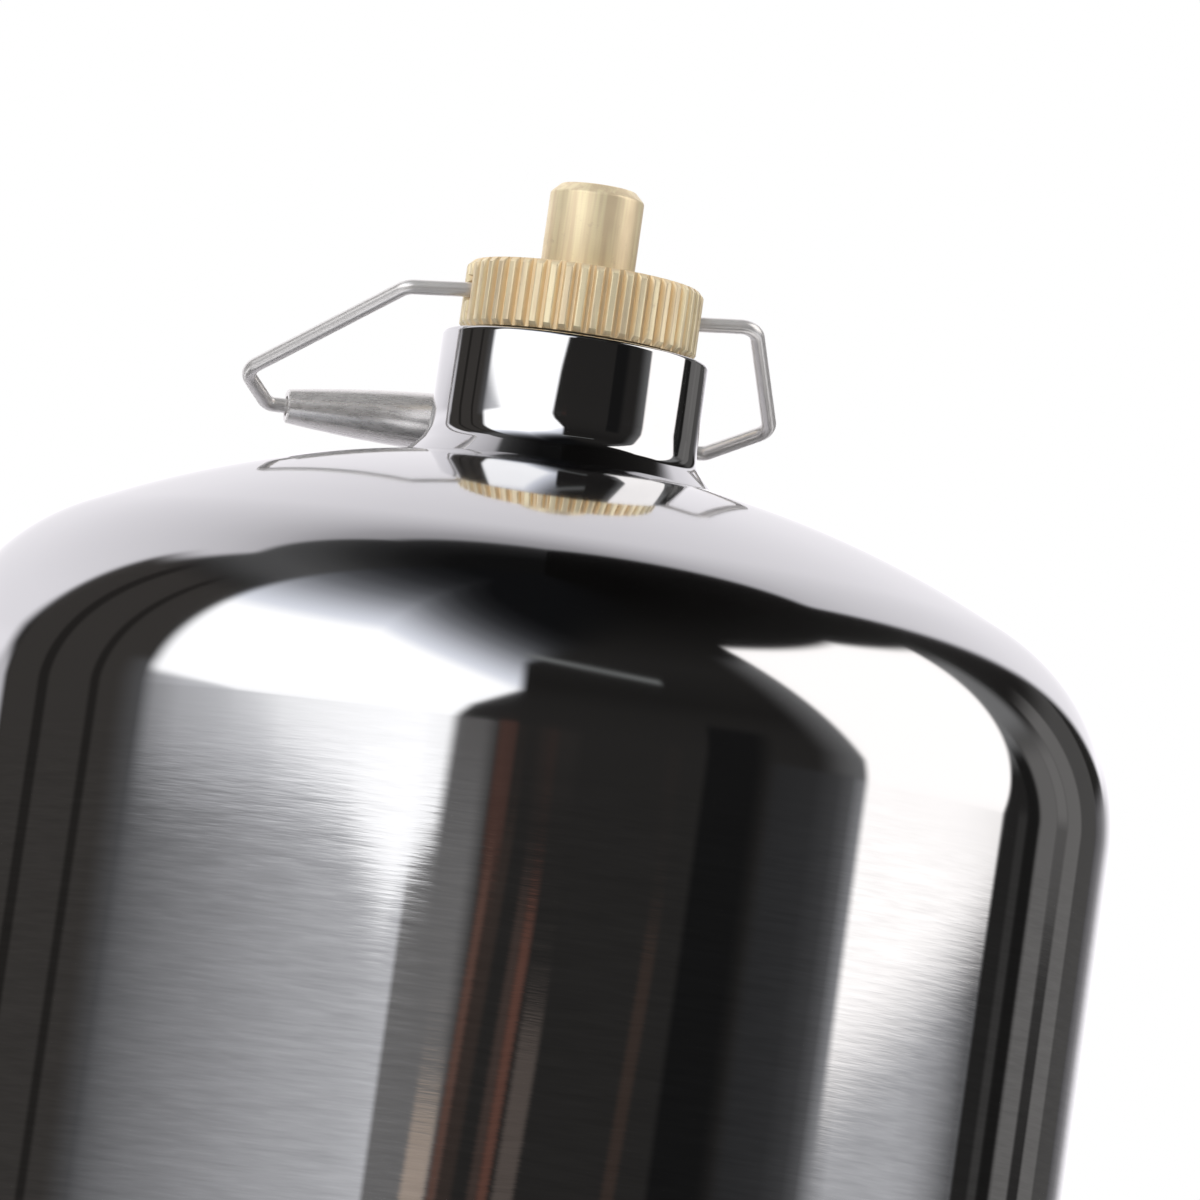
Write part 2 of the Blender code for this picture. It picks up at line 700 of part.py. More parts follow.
def spring_retainer(parts, cutters, materials):
    guide = STEM_RADIUS + THREAD_GAP
    outside = CHAMBER_RADIUS - THREAD_GAP
    profile = [
        (guide, RETAINER_TOP_Z),
        (outside, RETAINER_TOP_Z),
        (outside, RETAINER_Z),
        (guide, RETAINER_Z),
    ]
    retainer = turned(
        "spring_retainer", profile, RETAINER_Z, INNER_STEPS, materials["brass"], parts
    )
    circle = (guide + outside) / 2
    for index in range(FLOW_HOLE_COUNT):
        angle = math.tau * index / FLOW_HOLE_COUNT
        x = circle * math.cos(angle)
        y = circle * math.sin(angle)
        low = (x, y, RETAINER_Z - RETAINER_THICKNESS)
        high = (x, y, RETAINER_TOP_Z + RETAINER_THICKNESS)
        hole = rod(f"flow_cutter_{index}", FLOW_HOLE_RADIUS, low, high, SMALL_HOLE_STEPS, parts)
        boolean(retainer, cutter(hole, cutters), "DIFFERENCE")
    return retainer


def filter_disc(parts, materials):
    top = FILTER_Z + FILTER_THICKNESS
    profile = [(0.0, top), (FILTER_RADIUS, top), (FILTER_RADIUS, FILTER_Z), (0.0, FILTER_Z)]
    return turned(
        "filter_disc", profile, FILTER_Z, INNER_STEPS, materials["sintered_bronze"], parts
    )


def tube_nut(parts, materials):
    """The cap nut under the valve, which holds the filter and the dip tube's flare."""
    inside = SHANK_RADIUS + THREAD_GAP
    hole = TUBE_RADIUS + THREAD_GAP
    top = TAIL_Z + NUT_OVERLAP
    profile = [
        (inside, top),
        (NUT_RADIUS, top),
        (NUT_RADIUS, NUT_Z),
        (hole, NUT_Z),
        (hole, NUT_FLOOR_Z),
        (inside, NUT_FLOOR_Z),
    ]
    return turned("tube_nut", profile, NUT_Z, VALVE_STEPS, materials["brass"], parts)


def dip_tube(parts, materials):
    flare_top = FLARE_Z + TUBE_FLARE_THICKNESS
    profile = [
        (TUBE_BORE_RADIUS, flare_top),
        (TUBE_FLARE_RADIUS, flare_top),
        (TUBE_FLARE_RADIUS, FLARE_Z),
        (TUBE_RADIUS, FLARE_Z),
        (TUBE_RADIUS, TUBE_END_HEIGHT),
        (TUBE_BORE_RADIUS, TUBE_END_HEIGHT),
    ]
    return turned("dip_tube", profile, FLARE_Z, INNER_STEPS, materials["wire_steel"], parts)


def dust_cap(parts, materials):
    bore = STUB_RADIUS + THREAD_GAP
    ceiling = CAP_TOP_Z - CAP_TOP
    profile = [
        (0.0, CAP_TOP_Z),
        (CAP_RADIUS - CAP_CHAMFER, CAP_TOP_Z),
        (CAP_RADIUS, CAP_TOP_Z - CAP_CHAMFER),
        (CAP_RADIUS, CAP_Z + CAP_EDGE_CHAMFER),
        (CAP_RADIUS - CAP_EDGE_CHAMFER, CAP_Z),
        (bore, CAP_Z),
        (bore, ceiling),
        (0.0, ceiling),
    ]
    return turned("dust_cap", profile, CAP_Z, VALVE_STEPS, materials["brass"], parts)


def cap_gasket(parts, materials):
    top = CAP_GASKET_Z + CAP_GASKET_THICKNESS
    profile = [(0.0, top), (STUB_RADIUS, top), (STUB_RADIUS, CAP_GASKET_Z), (0.0, CAP_GASKET_Z)]
    return turned(
        "cap_gasket", profile, CAP_GASKET_Z, INNER_STEPS, materials["black_rubber"], parts
    )


def bail_swing():
    """The bail's angle from hanging straight down, at which its grip rests on the collar."""
    reach = COLLAR_RADIUS + GRIP_MIDDLE_RADIUS + SEAT_GAP
    lean = math.sin(BAIL_LEAN)
    sine = reach * math.cos(BAIL_LEAN) / math.sqrt(GRIP_DROP**2 - (reach * lean) ** 2)
    return math.asin(sine)


def bail_point(across, down):
    """A point of the bail in its own frame, in which it hangs straight down from its hinge.

    The frame is a little out of true: sheared to the left and leaning in its own plane.
    """
    across -= BAIL_SHEAR * down
    sine = math.sin(BAIL_LEAN)
    cosine = math.cos(BAIL_LEAN)
    return Vector((across * cosine + down * sine, 0.0, across * sine - down * cosine))


def rounded_path(corners):
    """Points along straight runs, with an arc of each corner's own radius in place of its point."""
    points = [corners[0][0]]
    for (before, _), (corner, radius), (after, _) in zip(corners, corners[1:], corners[2:]):
        back = (before - corner).normalized()
        ahead = (after - corner).normalized()
        half = back.angle(ahead) / 2
        centre = corner + (back + ahead).normalized() * (radius / math.sin(half))
        cut = radius / math.tan(half)
        start = corner + back * cut - centre
        end = corner + ahead * cut - centre
        turn = start.angle(end)
        for i in range(BEND_SEGMENTS + 1):
            share = i / BEND_SEGMENTS
            first = math.sin((1 - share) * turn) / math.sin(turn)
            second = math.sin(share * turn) / math.sin(turn)
            points.append(centre + start * first + end * second)
    points.append(corners[-1][0])
    return points


def bail_wire(parts, ring, materials):
    """One wire from pivot hole to pivot hole, by way of the grip."""
    shoulder = SHOULDER_HALF_WIDTH
    corner = CORNER_HALF_WIDTH
    straight = WIRE_STRAIGHT_HALF
    bend = WIRE_BEND_RADIUS
    corners = [
        (Vector((-PIN_END_RADIUS, 0.0, 0.0)), 0.0),
        (Vector((-RING_RADIUS, 0.0, -PIN_DROP)), bend),
        (bail_point(-shoulder, 0.0), bend),
        (bail_point(-corner, CORNER_DROP), bend),
        (bail_point(-straight, GRIP_DROP), GRIP_BEND_RADIUS),
        (bail_point(straight, GRIP_DROP), GRIP_BEND_RADIUS),
        (bail_point(corner, CORNER_DROP), bend),
        (bail_point(shoulder, 0.0), bend),
        (Vector((RING_RADIUS, 0.0, PIN_DROP)), bend),
        (Vector((PIN_END_RADIUS, 0.0, 0.0)), 0.0),
    ]
    wire = wire_curve(
        "bail_wire", rounded_path(corners), WIRE_RADIUS, WIRE_BEVEL_SEGMENTS, materials["wire_steel"], parts
    )
    wire.parent = ring
    wire.location.z = PIVOT_HEIGHT
    wire.rotation_euler.x = bail_swing()
    return wire


def bail_grip(parts, wire, materials):
    """A barrel sleeve that turns freely on the wire."""
    bore = WIRE_RADIUS + GRIP_RUNNING_GAP
    bulge = GRIP_MIDDLE_RADIUS - GRIP_END_RADIUS
    edge = GRIP_HALF_LENGTH - GRIP_EDGE_CHAMFER
    outline = [(GRIP_END_RADIUS - GRIP_EDGE_CHAMFER, GRIP_HALF_LENGTH)]
    for i in range(GRIP_SEGMENTS + 1):
        along = edge * (1 - 2 * i / GRIP_SEGMENTS)
        outline.append((GRIP_MIDDLE_RADIUS - bulge * (along / edge) ** 2, along))
    outline.append((GRIP_END_RADIUS - GRIP_EDGE_CHAMFER, -GRIP_HALF_LENGTH))
    profile = outline + [(bore, -GRIP_HALF_LENGTH), (bore, GRIP_HALF_LENGTH)]
    grip = turned("bail_grip", profile, 0.0, VALVE_STEPS, materials["wire_steel"], parts)
    grip.parent = wire
    grip.location = bail_point(0.0, GRIP_DROP)
    grip.rotation_euler.y = math.pi / 2 - BAIL_LEAN
    return grip


def main():
    clear_scene()
    parts = new_collection(OBJECT_NAME)
    cutters = new_collection("cutters")
    materials = make_materials()

    upper_shell(parts, materials)
    lower_shell(parts, materials)
    girth_weld(parts, materials)
    foot_ring(parts, cutters, materials)
    foot_weld(parts, materials)
    neck_collar(parts, materials)
    neck_weld(parts, materials)

    gland_washer(parts, materials)
    ring = knurled_ring(parts, cutters, materials)
    valve_gasket(parts, materials)
    valve_body(parts, materials)
    valve_poppet(parts, materials)
    poppet_seal(parts, materials)
    valve_spring(parts, materials)
    spring_retainer(parts, cutters, materials)
    filter_disc(parts, materials)
    tube_nut(parts, materials)
    dip_tube(parts, materials)
    dust_cap(parts, materials)
    cap_gasket(parts, materials)

    wire = bail_wire(parts, ring, materials)
    bail_grip(parts, wire, materials)


main()
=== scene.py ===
"""Refillable gas canister: fine surfaces, finishes and a plain studio around the fixed frame.

Metres, +Z up. The vessel's axis is the Z axis and the floor is at zero.
"""

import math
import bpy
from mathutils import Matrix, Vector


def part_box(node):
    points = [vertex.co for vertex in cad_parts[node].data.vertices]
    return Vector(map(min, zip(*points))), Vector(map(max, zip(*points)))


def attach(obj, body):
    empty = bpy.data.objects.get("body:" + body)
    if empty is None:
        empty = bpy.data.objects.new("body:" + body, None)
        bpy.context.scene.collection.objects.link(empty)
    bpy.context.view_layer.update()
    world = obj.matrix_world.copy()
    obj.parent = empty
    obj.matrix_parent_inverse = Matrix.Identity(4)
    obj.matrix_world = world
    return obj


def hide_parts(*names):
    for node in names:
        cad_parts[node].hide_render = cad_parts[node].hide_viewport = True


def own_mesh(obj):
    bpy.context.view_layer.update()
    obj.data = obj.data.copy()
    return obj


bl_info = {
    "name": "Refillable Gas Canister",
    "version": (1, 0, 0),
    "blender": (4, 5, 0),
    "location": "3D View > Sidebar > Canister",
    "description": "Dresses a steel gas canister with a brass valve and a wire bail, and sets a plain studio",
    "category": "Object",
}

import bmesh
import bpy
from bpy.props import FloatProperty, FloatVectorProperty, PointerProperty
from mathutils import Matrix, Vector

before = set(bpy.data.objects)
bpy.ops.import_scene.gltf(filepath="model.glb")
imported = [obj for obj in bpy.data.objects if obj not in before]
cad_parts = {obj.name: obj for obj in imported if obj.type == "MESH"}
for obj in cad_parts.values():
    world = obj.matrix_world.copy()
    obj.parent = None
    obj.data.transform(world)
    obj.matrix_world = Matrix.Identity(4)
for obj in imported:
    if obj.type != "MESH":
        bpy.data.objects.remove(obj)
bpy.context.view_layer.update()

# Vessel
BODY_RADIUS = 0.0800
SHEET = 0.0015
INNER_RADIUS = BODY_RADIUS - SHEET
CROWN_RADIUS = 0.1396
KNUCKLE_RADIUS = 0.0300
FLOOR_CLEARANCE = 0.0100
APEX_Z = 0.1960
SEAM_HEIGHT = 0.0780
SEAM_OPENING = 0.0024
SEAM_LOW_Z = SEAM_HEIGHT - SEAM_OPENING / 2
SEAM_HIGH_Z = SEAM_HEIGHT + SEAM_OPENING / 2
JOGGLE_LENGTH = 0.0080
JOGGLE_BEND_LOW = 0.0030
JOGGLE_BEND_HIGH = 0.0008
SEAT_GAP = 0.0003
SHEET_EDGE = 0.0002
SEAM_EDGE = 0.0003
SPIGOT_RADIUS = 0.0135

# Foot ring and its weld
FOOT_RADIUS = 0.0620
FOOT_WALL = 0.0020
FOOT_LIP = 0.0540
FOOT_EDGE = 0.0006
VENT_RADIUS = 0.0045
VENT_HEIGHT = 0.0125
VENT_ANGLES = (math.radians(45), math.radians(135))
VENT_REACH = 1.1
FOOT_WELD_LEG = 0.0025
FOOT_WELD_FACE = ((0.7, 0.25), (0.4, 0.5))
RIPPLE_DEPTH = 0.00006
RIPPLE_COUNT = 240

# Neck collar and the washer on it
COLLAR_RADIUS = 0.0180
COLLAR_TOP_Z = 0.2116
COLLAR_RIM = 0.0006
COVE_SWEEPS = ((0.0120, math.radians(12)), (0.0034, math.radians(45)))
COVE_STEPS = 12
FLARE_RADIUS = 0.0213
FLARE_UNDERCUT = 0.0012
FLARE_GAP = 0.00001
COLLAR_THREAD_RADIUS = 0.0120
SHOULDER_Z = 0.2007
SPIGOT_END_Z = 0.1876
SPIGOT_BORE_RADIUS = 0.0086
WASHER_RADIUS = 0.0137
WASHER_Z = 0.2119
WASHER_THICKNESS = 0.0005
WASHER_EDGE = 0.0002

# Gland ring
RING_RADIUS = 0.0160
RING_Z = 0.2121
RECESS_RADIUS = 0.0140
RECESS_Z = 0.2127
RING_TOP_Z = 0.2213
RING_BOTTOM_Z = 0.2056
RING_CHAMFER = 0.0007
RING_EDGE = 0.0003
RING_BORE_RADIUS = 0.0068
RING_THREAD_RADIUS = 0.0117
RING_PITCH = 0.0015
RING_THREAD_DEPTH = 0.0006
RING_THREAD_END = 0.0006
TOOTH_COUNT = 48
TOOTH_DEPTH = 0.0008
TOOTH_CREST_SHARE = 0.40
TOOTH_FLANK_SHARE = 0.18
TOOTH_CROWN_SHARE = 0.04
TOOTH_PLACES = (0.12, 0.18, 0.22, 0.25, 0.29, 0.33, 0.37, 0.40, 0.44)
PIVOT_Z = 0.2173
PIVOT_HOLE_RADIUS = 0.0018
PIVOT_HOLE_DEPTH = 0.0054

# Valve body and spring
FLANGE_RADIUS = 0.0114
FLANGE_Z = 0.2023
FLANGE_TOP_Z = 0.2053
FLANGE_EDGE = 0.0002
SHANK_RADIUS = 0.0064
SHANK_TOP_Z = 0.2209
SHANK_EDGE = 0.0003
STUB_RADIUS = 0.0045
STUB_TOP_Z = 0.2301
STUB_CHAMFER = 0.0006
STUB_NECK = 0.0004
STUB_PITCH = 0.00125
STUB_THREAD_DEPTH = 0.0005
THREAD_CREST = 0.0001
THREAD_FLANK_SHARE = 0.42
PORT_RADIUS = 0.0016
PORT_CHAMFER = 0.0005
CHAMBER_RADIUS = 0.0044
VALVE_SEAT_Z = 0.1996
TAIL_Z = 0.1816
SPRING_RADIUS = 0.0026
SPRING_WIRE = 0.0007
SPRING_TURNS = 8

# Dust cap
CAP_RADIUS = 0.00635
CAP_Z = 0.2212
CAP_TOP_Z = 0.23345
CAP_CHAMFER = 0.0013
CAP_TOP_EDGE = 0.0005
CAP_SIDE_EDGE = 0.0006
CAP_EDGE = 0.0003
CAP_TOP = 0.00215
CAP_BORE_RADIUS = 0.0048
CAP_BORE_EDGE = 0.0002

# Wire bail, across and down its own plane
WIRE_RADIUS = 0.0010
WIRE_BEND = 0.0026
GRIP_BEND = 0.0020
PIN_END = 0.0112
PIN_DROP = 0.00045
SHOULDER_HALF = 0.02395
CORNER_HALF = 0.0363
CORNER_DROP = 0.02085
GRIP_DROP = 0.02725
STRAIGHT_HALF = 0.0303
BAIL_LEAN = math.radians(4.6)
BAIL_SHEAR = 0.27
GRIP_HALF = 0.0277
GRIP_MIDDLE_RADIUS = 0.0041
GRIP_END_RADIUS = 0.0023
GRIP_BORE_RADIUS = 0.0014
GRIP_EDGE = 0.0002

# Facets: round the axis, then along the crown and the knuckle of a head
VESSEL_STEPS = 256
NECK_STEPS = 192
FINE_STEPS = 96
WELD_STEPS = 960
DRILL_STEPS = 40
SPRING_STEPS = 32
BEND_STEPS = 14
EDGE_STEPS = 5
WIRE_BEVEL_STEPS = 8
SPRING_BEVEL_STEPS = 3
GRIP_ROWS = 48
TOOTH_ROWS = 6
RING_THREAD_ROWS = 60
STUB_THREAD_ROWS = 64
TOP_HEAD_STEPS = (48, 48)
BOTTOM_HEAD_STEPS = (40, 40)
INNER_HEAD_STEPS = (8, 12)
SHARP_ANGLE = math.radians(32)

# Noise repeats per metre along X, Y and Z
COARSE_LINES = (120.0, 120.0, 1300.0)
FINE_LINES = (240.0, 240.0, 3800.0)
BRASS_STREAKS = (900.0, 900.0, 45.0)
GRIP_LINES = (90.0, 3000.0, 3000.0)

# Brushing: the fine lines' share, and the two heights that brush a whole piece; pitches of turning marks
FINE_LINE_SHARE = 0.35
ALL_BRUSHED = (1.2, 1.0)
TURNING_PITCH = 0.00016
POLISHED_PITCH = 0.00012

# Camera, lamp and floor
CAMERA_AZIMUTH = math.radians(-14.0)
CAMERA_DISTANCE = 1.5
CAMERA_HEIGHT = 0.03922
CAMERA_YAW = math.radians(0.3018)
CAMERA_PITCH = math.radians(5.309)
CAMERA_ROLL = math.radians(8.0754)
SENSOR_WIDTH = 36.0
CAMERA_CLIP = (0.1, 100.0)
LAMP_PLACE = Vector((-0.35, -0.25, 1.2))
LAMP_AIM = Vector((0.0, 0.0, 0.1))
LAMP_SIZE = 0.9
FLOOR_RADIUS = 60.0
WHITE_FLOOR = (0.35, 1.4)
UNSEEN_FLOOR = (0.22, 0.60)
METAL_GAIN = 1 / 0.72

# Tints of the studio's cards
PLAIN = (1.0, 1.0, 1.0)
BROWN = (1.0, 0.92, 0.85)
LILAC = (1.0, 0.975, 1.01)
BLUE = (0.95, 0.98, 1.06)
COOL = (0.985, 0.99, 1.02)
DUSKY = (1.0, 0.95, 0.90)
STAND = (1.0, 0.97, 0.94)
WARM = (1.0, 0.97, 0.945)

# Settings that a user may change
COLOUR = {"subtype": "COLOR", "size": 3, "min": 0.0, "max": 1.0}
SHARE = {"subtype": "FACTOR", "min": 0.0, "max": 1.0}
HEIGHT = {"subtype": "DISTANCE", "unit": "LENGTH", "min": 0.0, "max": 0.2}
LEVEL = {"subtype": "FACTOR", "min": 0.0, "max": 2.0}


class CanisterSteelSettings(bpy.types.PropertyGroup):
    """The vessel's and the collar's steel."""

    colour: FloatVectorProperty(
        name="Steel colour",
        description="Colour of the bare steel of the vessel and the collar",
        default=(0.72, 0.72, 0.735),
        **COLOUR,
    )
    polish: FloatProperty(
        name="Polish roughness",
        description="Roughness of the mirror-polished head and collar",
        default=0.045,
        **SHARE,
    )
    brushing: FloatProperty(
        name="Brushing roughness",
        description="Roughness of the brushed wall",
        default=0.022,
        **SHARE,
    )
    brush_top: FloatProperty(
        name="Brushing starts",
        description="Height at which the polish starts to turn into the brushed wall",
        default=0.1560,
        **HEIGHT,
    )
    brush_full: FloatProperty(
        name="Brushing is full",
        description="Height below which the wall is fully brushed",
        default=0.1380,
        **HEIGHT,
    )


class CanisterBrassSettings(bpy.types.PropertyGroup):
    """The brass of the gland ring, the valve and the dust cap."""

    colour: FloatVectorProperty(
        name="Brass colour",
        description="Colour of the bare brass",
        default=(0.98, 0.80, 0.54),
        **COLOUR,
    )
    roughness: FloatProperty(
        name="Brass roughness",
        description="Roughness of the turned brass",
        default=0.35,
        **SHARE,
    )
    tooth_rounding: FloatProperty(
        name="Tooth rounding",
        description="How far the knurling's corners are eased, as a share of a flank",
        default=0.7,
        **SHARE,
    )


class CanisterBailSettings(bpy.types.PropertyGroup):
    """The wire bail and its grip."""

    colour: FloatVectorProperty(
        name="Wire colour",
        description="Colour of the bail's drawn steel wire and of its grip",
        default=(0.86, 0.84, 0.83),
        **COLOUR,
    )
    wire_roughness: FloatProperty(
        name="Wire roughness",
        description="Roughness of the drawn wire",
        default=0.28,
        **SHARE,
    )
    grip_roughness: FloatProperty(
        name="Grip roughness",
        description="Roughness of the turned grip",
        default=0.28,
        **SHARE,
    )


class CanisterStageSettings(bpy.types.PropertyGroup):
    """The floor, the light and the camera."""

    floor_colour: FloatVectorProperty(
        name="Floor colour",
        description="Colour of the plain floor",
        default=(0.90, 0.90, 0.905),
        **COLOUR,
    )
    fill: FloatProperty(
        name="Fill light",
        description="Level of the plain light that reaches matt surfaces from all round",
        default=0.98,
        **LEVEL,
    )
    cards: FloatProperty(
        name="Card level",
        description="Level of the white cards that the metal shows",
        default=1.45,
        **LEVEL,
    )
    lamp: FloatProperty(
        name="Lamp power",
        description="Power of the soft lamp above, which gives the shadow on the floor",
        default=5.0,
        subtype="POWER",
        unit="POWER",
        min=0.0,
        max=50.0,
    )
    lens: FloatProperty(
        name="Focal length",
        description="Focal length of the camera",
        default=338.03,
        subtype="DISTANCE_CAMERA",
        unit="CAMERA",
        min=1.0,
        max=1000.0,
    )


# Nodes

def opaque(colour):
    return (colour, colour, colour, 1.0) if isinstance(colour, float) else (*colour, 1.0)


def shade(colour, factor):
    return opaque(tuple(min(1.0, part * factor) for part in colour))


class Graph:
    """Adds nodes to one node tree and joins them."""

    def __init__(self, tree):
        self.tree = tree

    def feed(self, socket, value):
        if isinstance(value, bpy.types.NodeSocket):
            self.tree.links.new(value, socket)
        else:
            socket.default_value = value

    def add(self, kind, inputs=None, **settings):
        """A new node with these settings, fed with these inputs by name."""
        node = self.tree.nodes.new(kind)
        for name, value in settings.items():
            setattr(node, name, value)
        for name, value in (inputs or {}).items():
            self.feed(node.inputs[name], value)
        return node

    def maths(self, operation, *values):
        return self.add("ShaderNodeMath", dict(enumerate(values)), operation=operation).outputs["Value"]

    def plus(self, first, second):
        return self.maths("ADD", first, second)

    def minus(self, first, second):
        return self.maths("SUBTRACT", first, second)

    def times(self, first, second):
        return self.maths("MULTIPLY", first, second)

    def line(self, value, slope, start):
        """Value times slope, plus start."""
        return self.maths("MULTIPLY_ADD", value, slope, start)

    def past(self, value, limit):
        """How far value is above limit, and nothing below it."""
        return self.maths("MAXIMUM", self.minus(value, limit), 0.0)

    def remap(self, value, low, high, to_low=0.0, to_high=1.0, smooth=True):
        """Value from low..high to to_low..to_high, held at both ends."""
        return self.add(
            "ShaderNodeMapRange",
            {"Value": value, "From Min": low, "From Max": high, "To Min": to_low, "To Max": to_high},
            interpolation_type="SMOOTHSTEP" if smooth else "LINEAR",
        ).outputs["Result"]

    def mix(self, share, first, second):
        inputs = {"Factor": share, "A": first, "B": second}
        return self.add("ShaderNodeMix", inputs, data_type="RGBA", blend_type="MIX").outputs["Result"]

    def ramp(self, share, stops):
        """A colour ramp through (place, colour) stops."""
        node = self.add("ShaderNodeValToRGB", {"Fac": share})
        elements = node.color_ramp.elements
        while len(elements) > 1:
            elements.remove(elements[-1])
        elements[0].position = stops[0][0]
        elements[0].color = stops[0][1]
        for place, colour in stops[1:]:
            elements.new(place).color = colour
        return node.outputs["Color"]

    def spread(self, noise, low, high):
        """Noise, from its usual range to low..high."""
        return self.remap(noise, 0.3, 0.7, low, high, smooth=False)

    def noise(self, place, scale, detail=2.0, roughness=0.5):
        inputs = {"Vector": place, "Scale": scale, "Detail": detail, "Roughness": roughness}
        return self.add("ShaderNodeTexNoise", inputs).outputs["Fac"]

    def drawn_noise(self, place, scale, detail=2.0):
        """Noise that is drawn out along the axes with the smaller scales."""
        mapping = self.add("ShaderNodeMapping", {"Vector": place, "Scale": scale})
        return self.noise(mapping.outputs["Vector"], 1.0, detail, 0.6)

    def parts(self, place):
        outputs = self.add("ShaderNodeSeparateXYZ", {"Vector": place}).outputs
        return [outputs[axis] for axis in "XYZ"]

    def length(self, place):
        return self.add("ShaderNodeVectorMath", {0: place}, operation="LENGTH").outputs["Value"]

    def off_axis(self, place):
        """The distance from the Z axis."""
        inputs = {0: place, 1: (1.0, 1.0, 0.0)}
        return self.length(self.add("ShaderNodeVectorMath", inputs, operation="MULTIPLY").outputs["Vector"])

    def group(self, name, **values):
        """The outputs of a shared group, fed with these values."""
        inputs = {label.replace("_", " ").capitalize(): value for label, value in values.items()}
        return self.add("ShaderNodeGroup", inputs, node_tree=shared_group(name)).outputs


def shared_group(name):
    """The node group of that name, made the first time that it is asked for.

    An input without a default is a vector.
    """
    if name not in bpy.data.node_groups:
        tree = bpy.data.node_groups.new(name, "ShaderNodeTree")
        fill, inputs, outputs = GROUPS[name]
        for label, default in inputs.items():
            kind = "NodeSocketVector" if default is None else "NodeSocketFloat"
            socket = tree.interface.new_socket(label, in_out="INPUT", socket_type=kind)
            if default is not None:
                socket.default_value = default
        for label in outputs:
            tree.interface.new_socket(label, in_out="OUTPUT", socket_type="NodeSocketFloat")
        graph = Graph(tree)
        given = graph.add("NodeGroupInput").outputs
        results = fill(graph, *(given[label] for label in inputs))
        graph.add("NodeGroupOutput", dict(zip(outputs, results)))
    return bpy.data.node_groups[name]


def brushed_lines(graph, place, top, full):
    """Fine lines along the circle about Z, which start below a height."""
    drift = graph.spread(graph.noise(place, 22.0), -0.003, 0.003)
    mask = graph.remap(graph.plus(graph.parts(place)[2], drift), full, top, 1.0, 0.0)
    coarse = graph.minus(graph.drawn_noise(place, COARSE_LINES), 0.5)
    fine = graph.minus(graph.drawn_noise(place, FINE_LINES), 0.5)
    return mask, graph.times(graph.line(fine, FINE_LINE_SHARE, coarse), mask)


def streaks(graph, place, scale, detail):
    """Long streaks, by noise repeats per metre along each axis."""
    return (graph.drawn_noise(place, scale, detail),)


def grain(graph, place, repeats):
    """An even grain."""
    return (graph.noise(place, repeats, 3.0, 0.6),)


def smudges(graph, place, size):
    """Soft marks of hands."""
    return (graph.remap(graph.noise(place, size, 4.0, 0.55), 0.42, 0.72),)


def turning_marks(graph, place, pitch, waver):
    """Fine rings along the height, and rings on end faces."""
    way = graph.plus(graph.parts(place)[2], graph.off_axis(place))
    inputs = {"W": graph.maths("DIVIDE", way, pitch), "Scale": 1.0, "Detail": 2.0}
    row = graph.add("ShaderNodeTexNoise", inputs, noise_dimensions="1D").outputs["Fac"]
    return (graph.minus(graph.line(graph.noise(place, 160.0), waver, row), 0.65),)


def studio_card(graph, azimuth, elevation, left, right, bottom, top, *blurs):
    """The mask of a rectangle of the studio, by azimuth and elevation in degrees."""
    left_blur, right_blur, bottom_blur, top_blur = blurs

    def edge(value, place, blur, inside):
        return graph.remap(value, graph.minus(place, blur), graph.plus(place, blur), 1.0 - inside, inside)

    sides = graph.times(edge(azimuth, left, left_blur, 1.0), edge(azimuth, right, right_blur, 0.0))
    ends = graph.times(edge(elevation, bottom, bottom_blur, 1.0), edge(elevation, top, top_blur, 0.0))
    return (graph.times(sides, ends),)


CARD_INPUTS = ("Azimuth", "Elevation", "Left", "Right", "Bottom", "Top")
CARD_BLURS = ("Left blur", "Right blur", "Bottom blur", "Top blur")
GROUPS = {
    "Brushed lines": (brushed_lines, {"Vector": None, "Top": 0.2, "Full": 0.1}, ("Mask", "Lines")),
    "Streaks": (streaks, {"Vector": None, "Scale": None, "Detail": 2.0}, ("Streaks",)),
    "Grain": (grain, {"Vector": None, "Repeats": 1000.0}, ("Grain",)),
    "Smudges": (smudges, {"Vector": None, "Size": 40.0}, ("Smudge",)),
    "Turning marks": (turning_marks, {"Vector": None, "Pitch": 0.0002, "Waver": 0.3}, ("Lines",)),
    "Studio card": (
        studio_card,
        {**dict.fromkeys(CARD_INPUTS, 0.0), **dict.fromkeys(CARD_BLURS, 1.0)},
        ("Mask",),
    ),
}


# Materials

class Finish(Graph):
    """A material in the making: its surface's coordinates, its plain colour and its Principled shader."""

    def __init__(self, name, colour, metallic, roughness):
        self.material = bpy.data.materials.new(name)
        self.material.use_nodes = True
        self.material.diffuse_color = opaque(colour)
        super().__init__(self.material.node_tree)
        self.colour = tuple(colour)
        self.shader = self.tree.nodes["Principled BSDF"]
        self.set("Metallic", metallic)
        self.set("Roughness", roughness)
        self.set("Base Color", opaque(colour))
        self.place = self.add("ShaderNodeTexCoord").outputs["Object"]

    def set(self, label, value):
        self.feed(self.shader.inputs[label], value)

    def tone(self, share, low, high):
        """The colour between two of its shades."""
        return self.mix(share, shade(self.colour, low), shade(self.colour, high))

    def smudge(self, size):
        return self.group("Smudges", vector=self.place, size=size)["Smudge"]

    def turning(self, pitch, waver):
        return self.group("Turning marks", vector=self.place, pitch=pitch, waver=waver)["Lines"]

    def grain(self, repeats):
        return self.group("Grain", vector=self.place, repeats=repeats)["Grain"]

    def streaks(self, scale, detail):
        return self.group("Streaks", vector=self.place, scale=scale, detail=detail)["Streaks"]

    def done(self, roughness, colour, height, depth, strength):
        """The material with this roughness and colour, and bumps of this height."""
        inputs = {"Strength": strength, "Distance": depth, "Height": height}
        self.set("Normal", self.add("ShaderNodeBump", inputs).outputs["Normal"])
        self.set("Roughness", roughness)
        self.set("Base Color", colour)
        return self.material


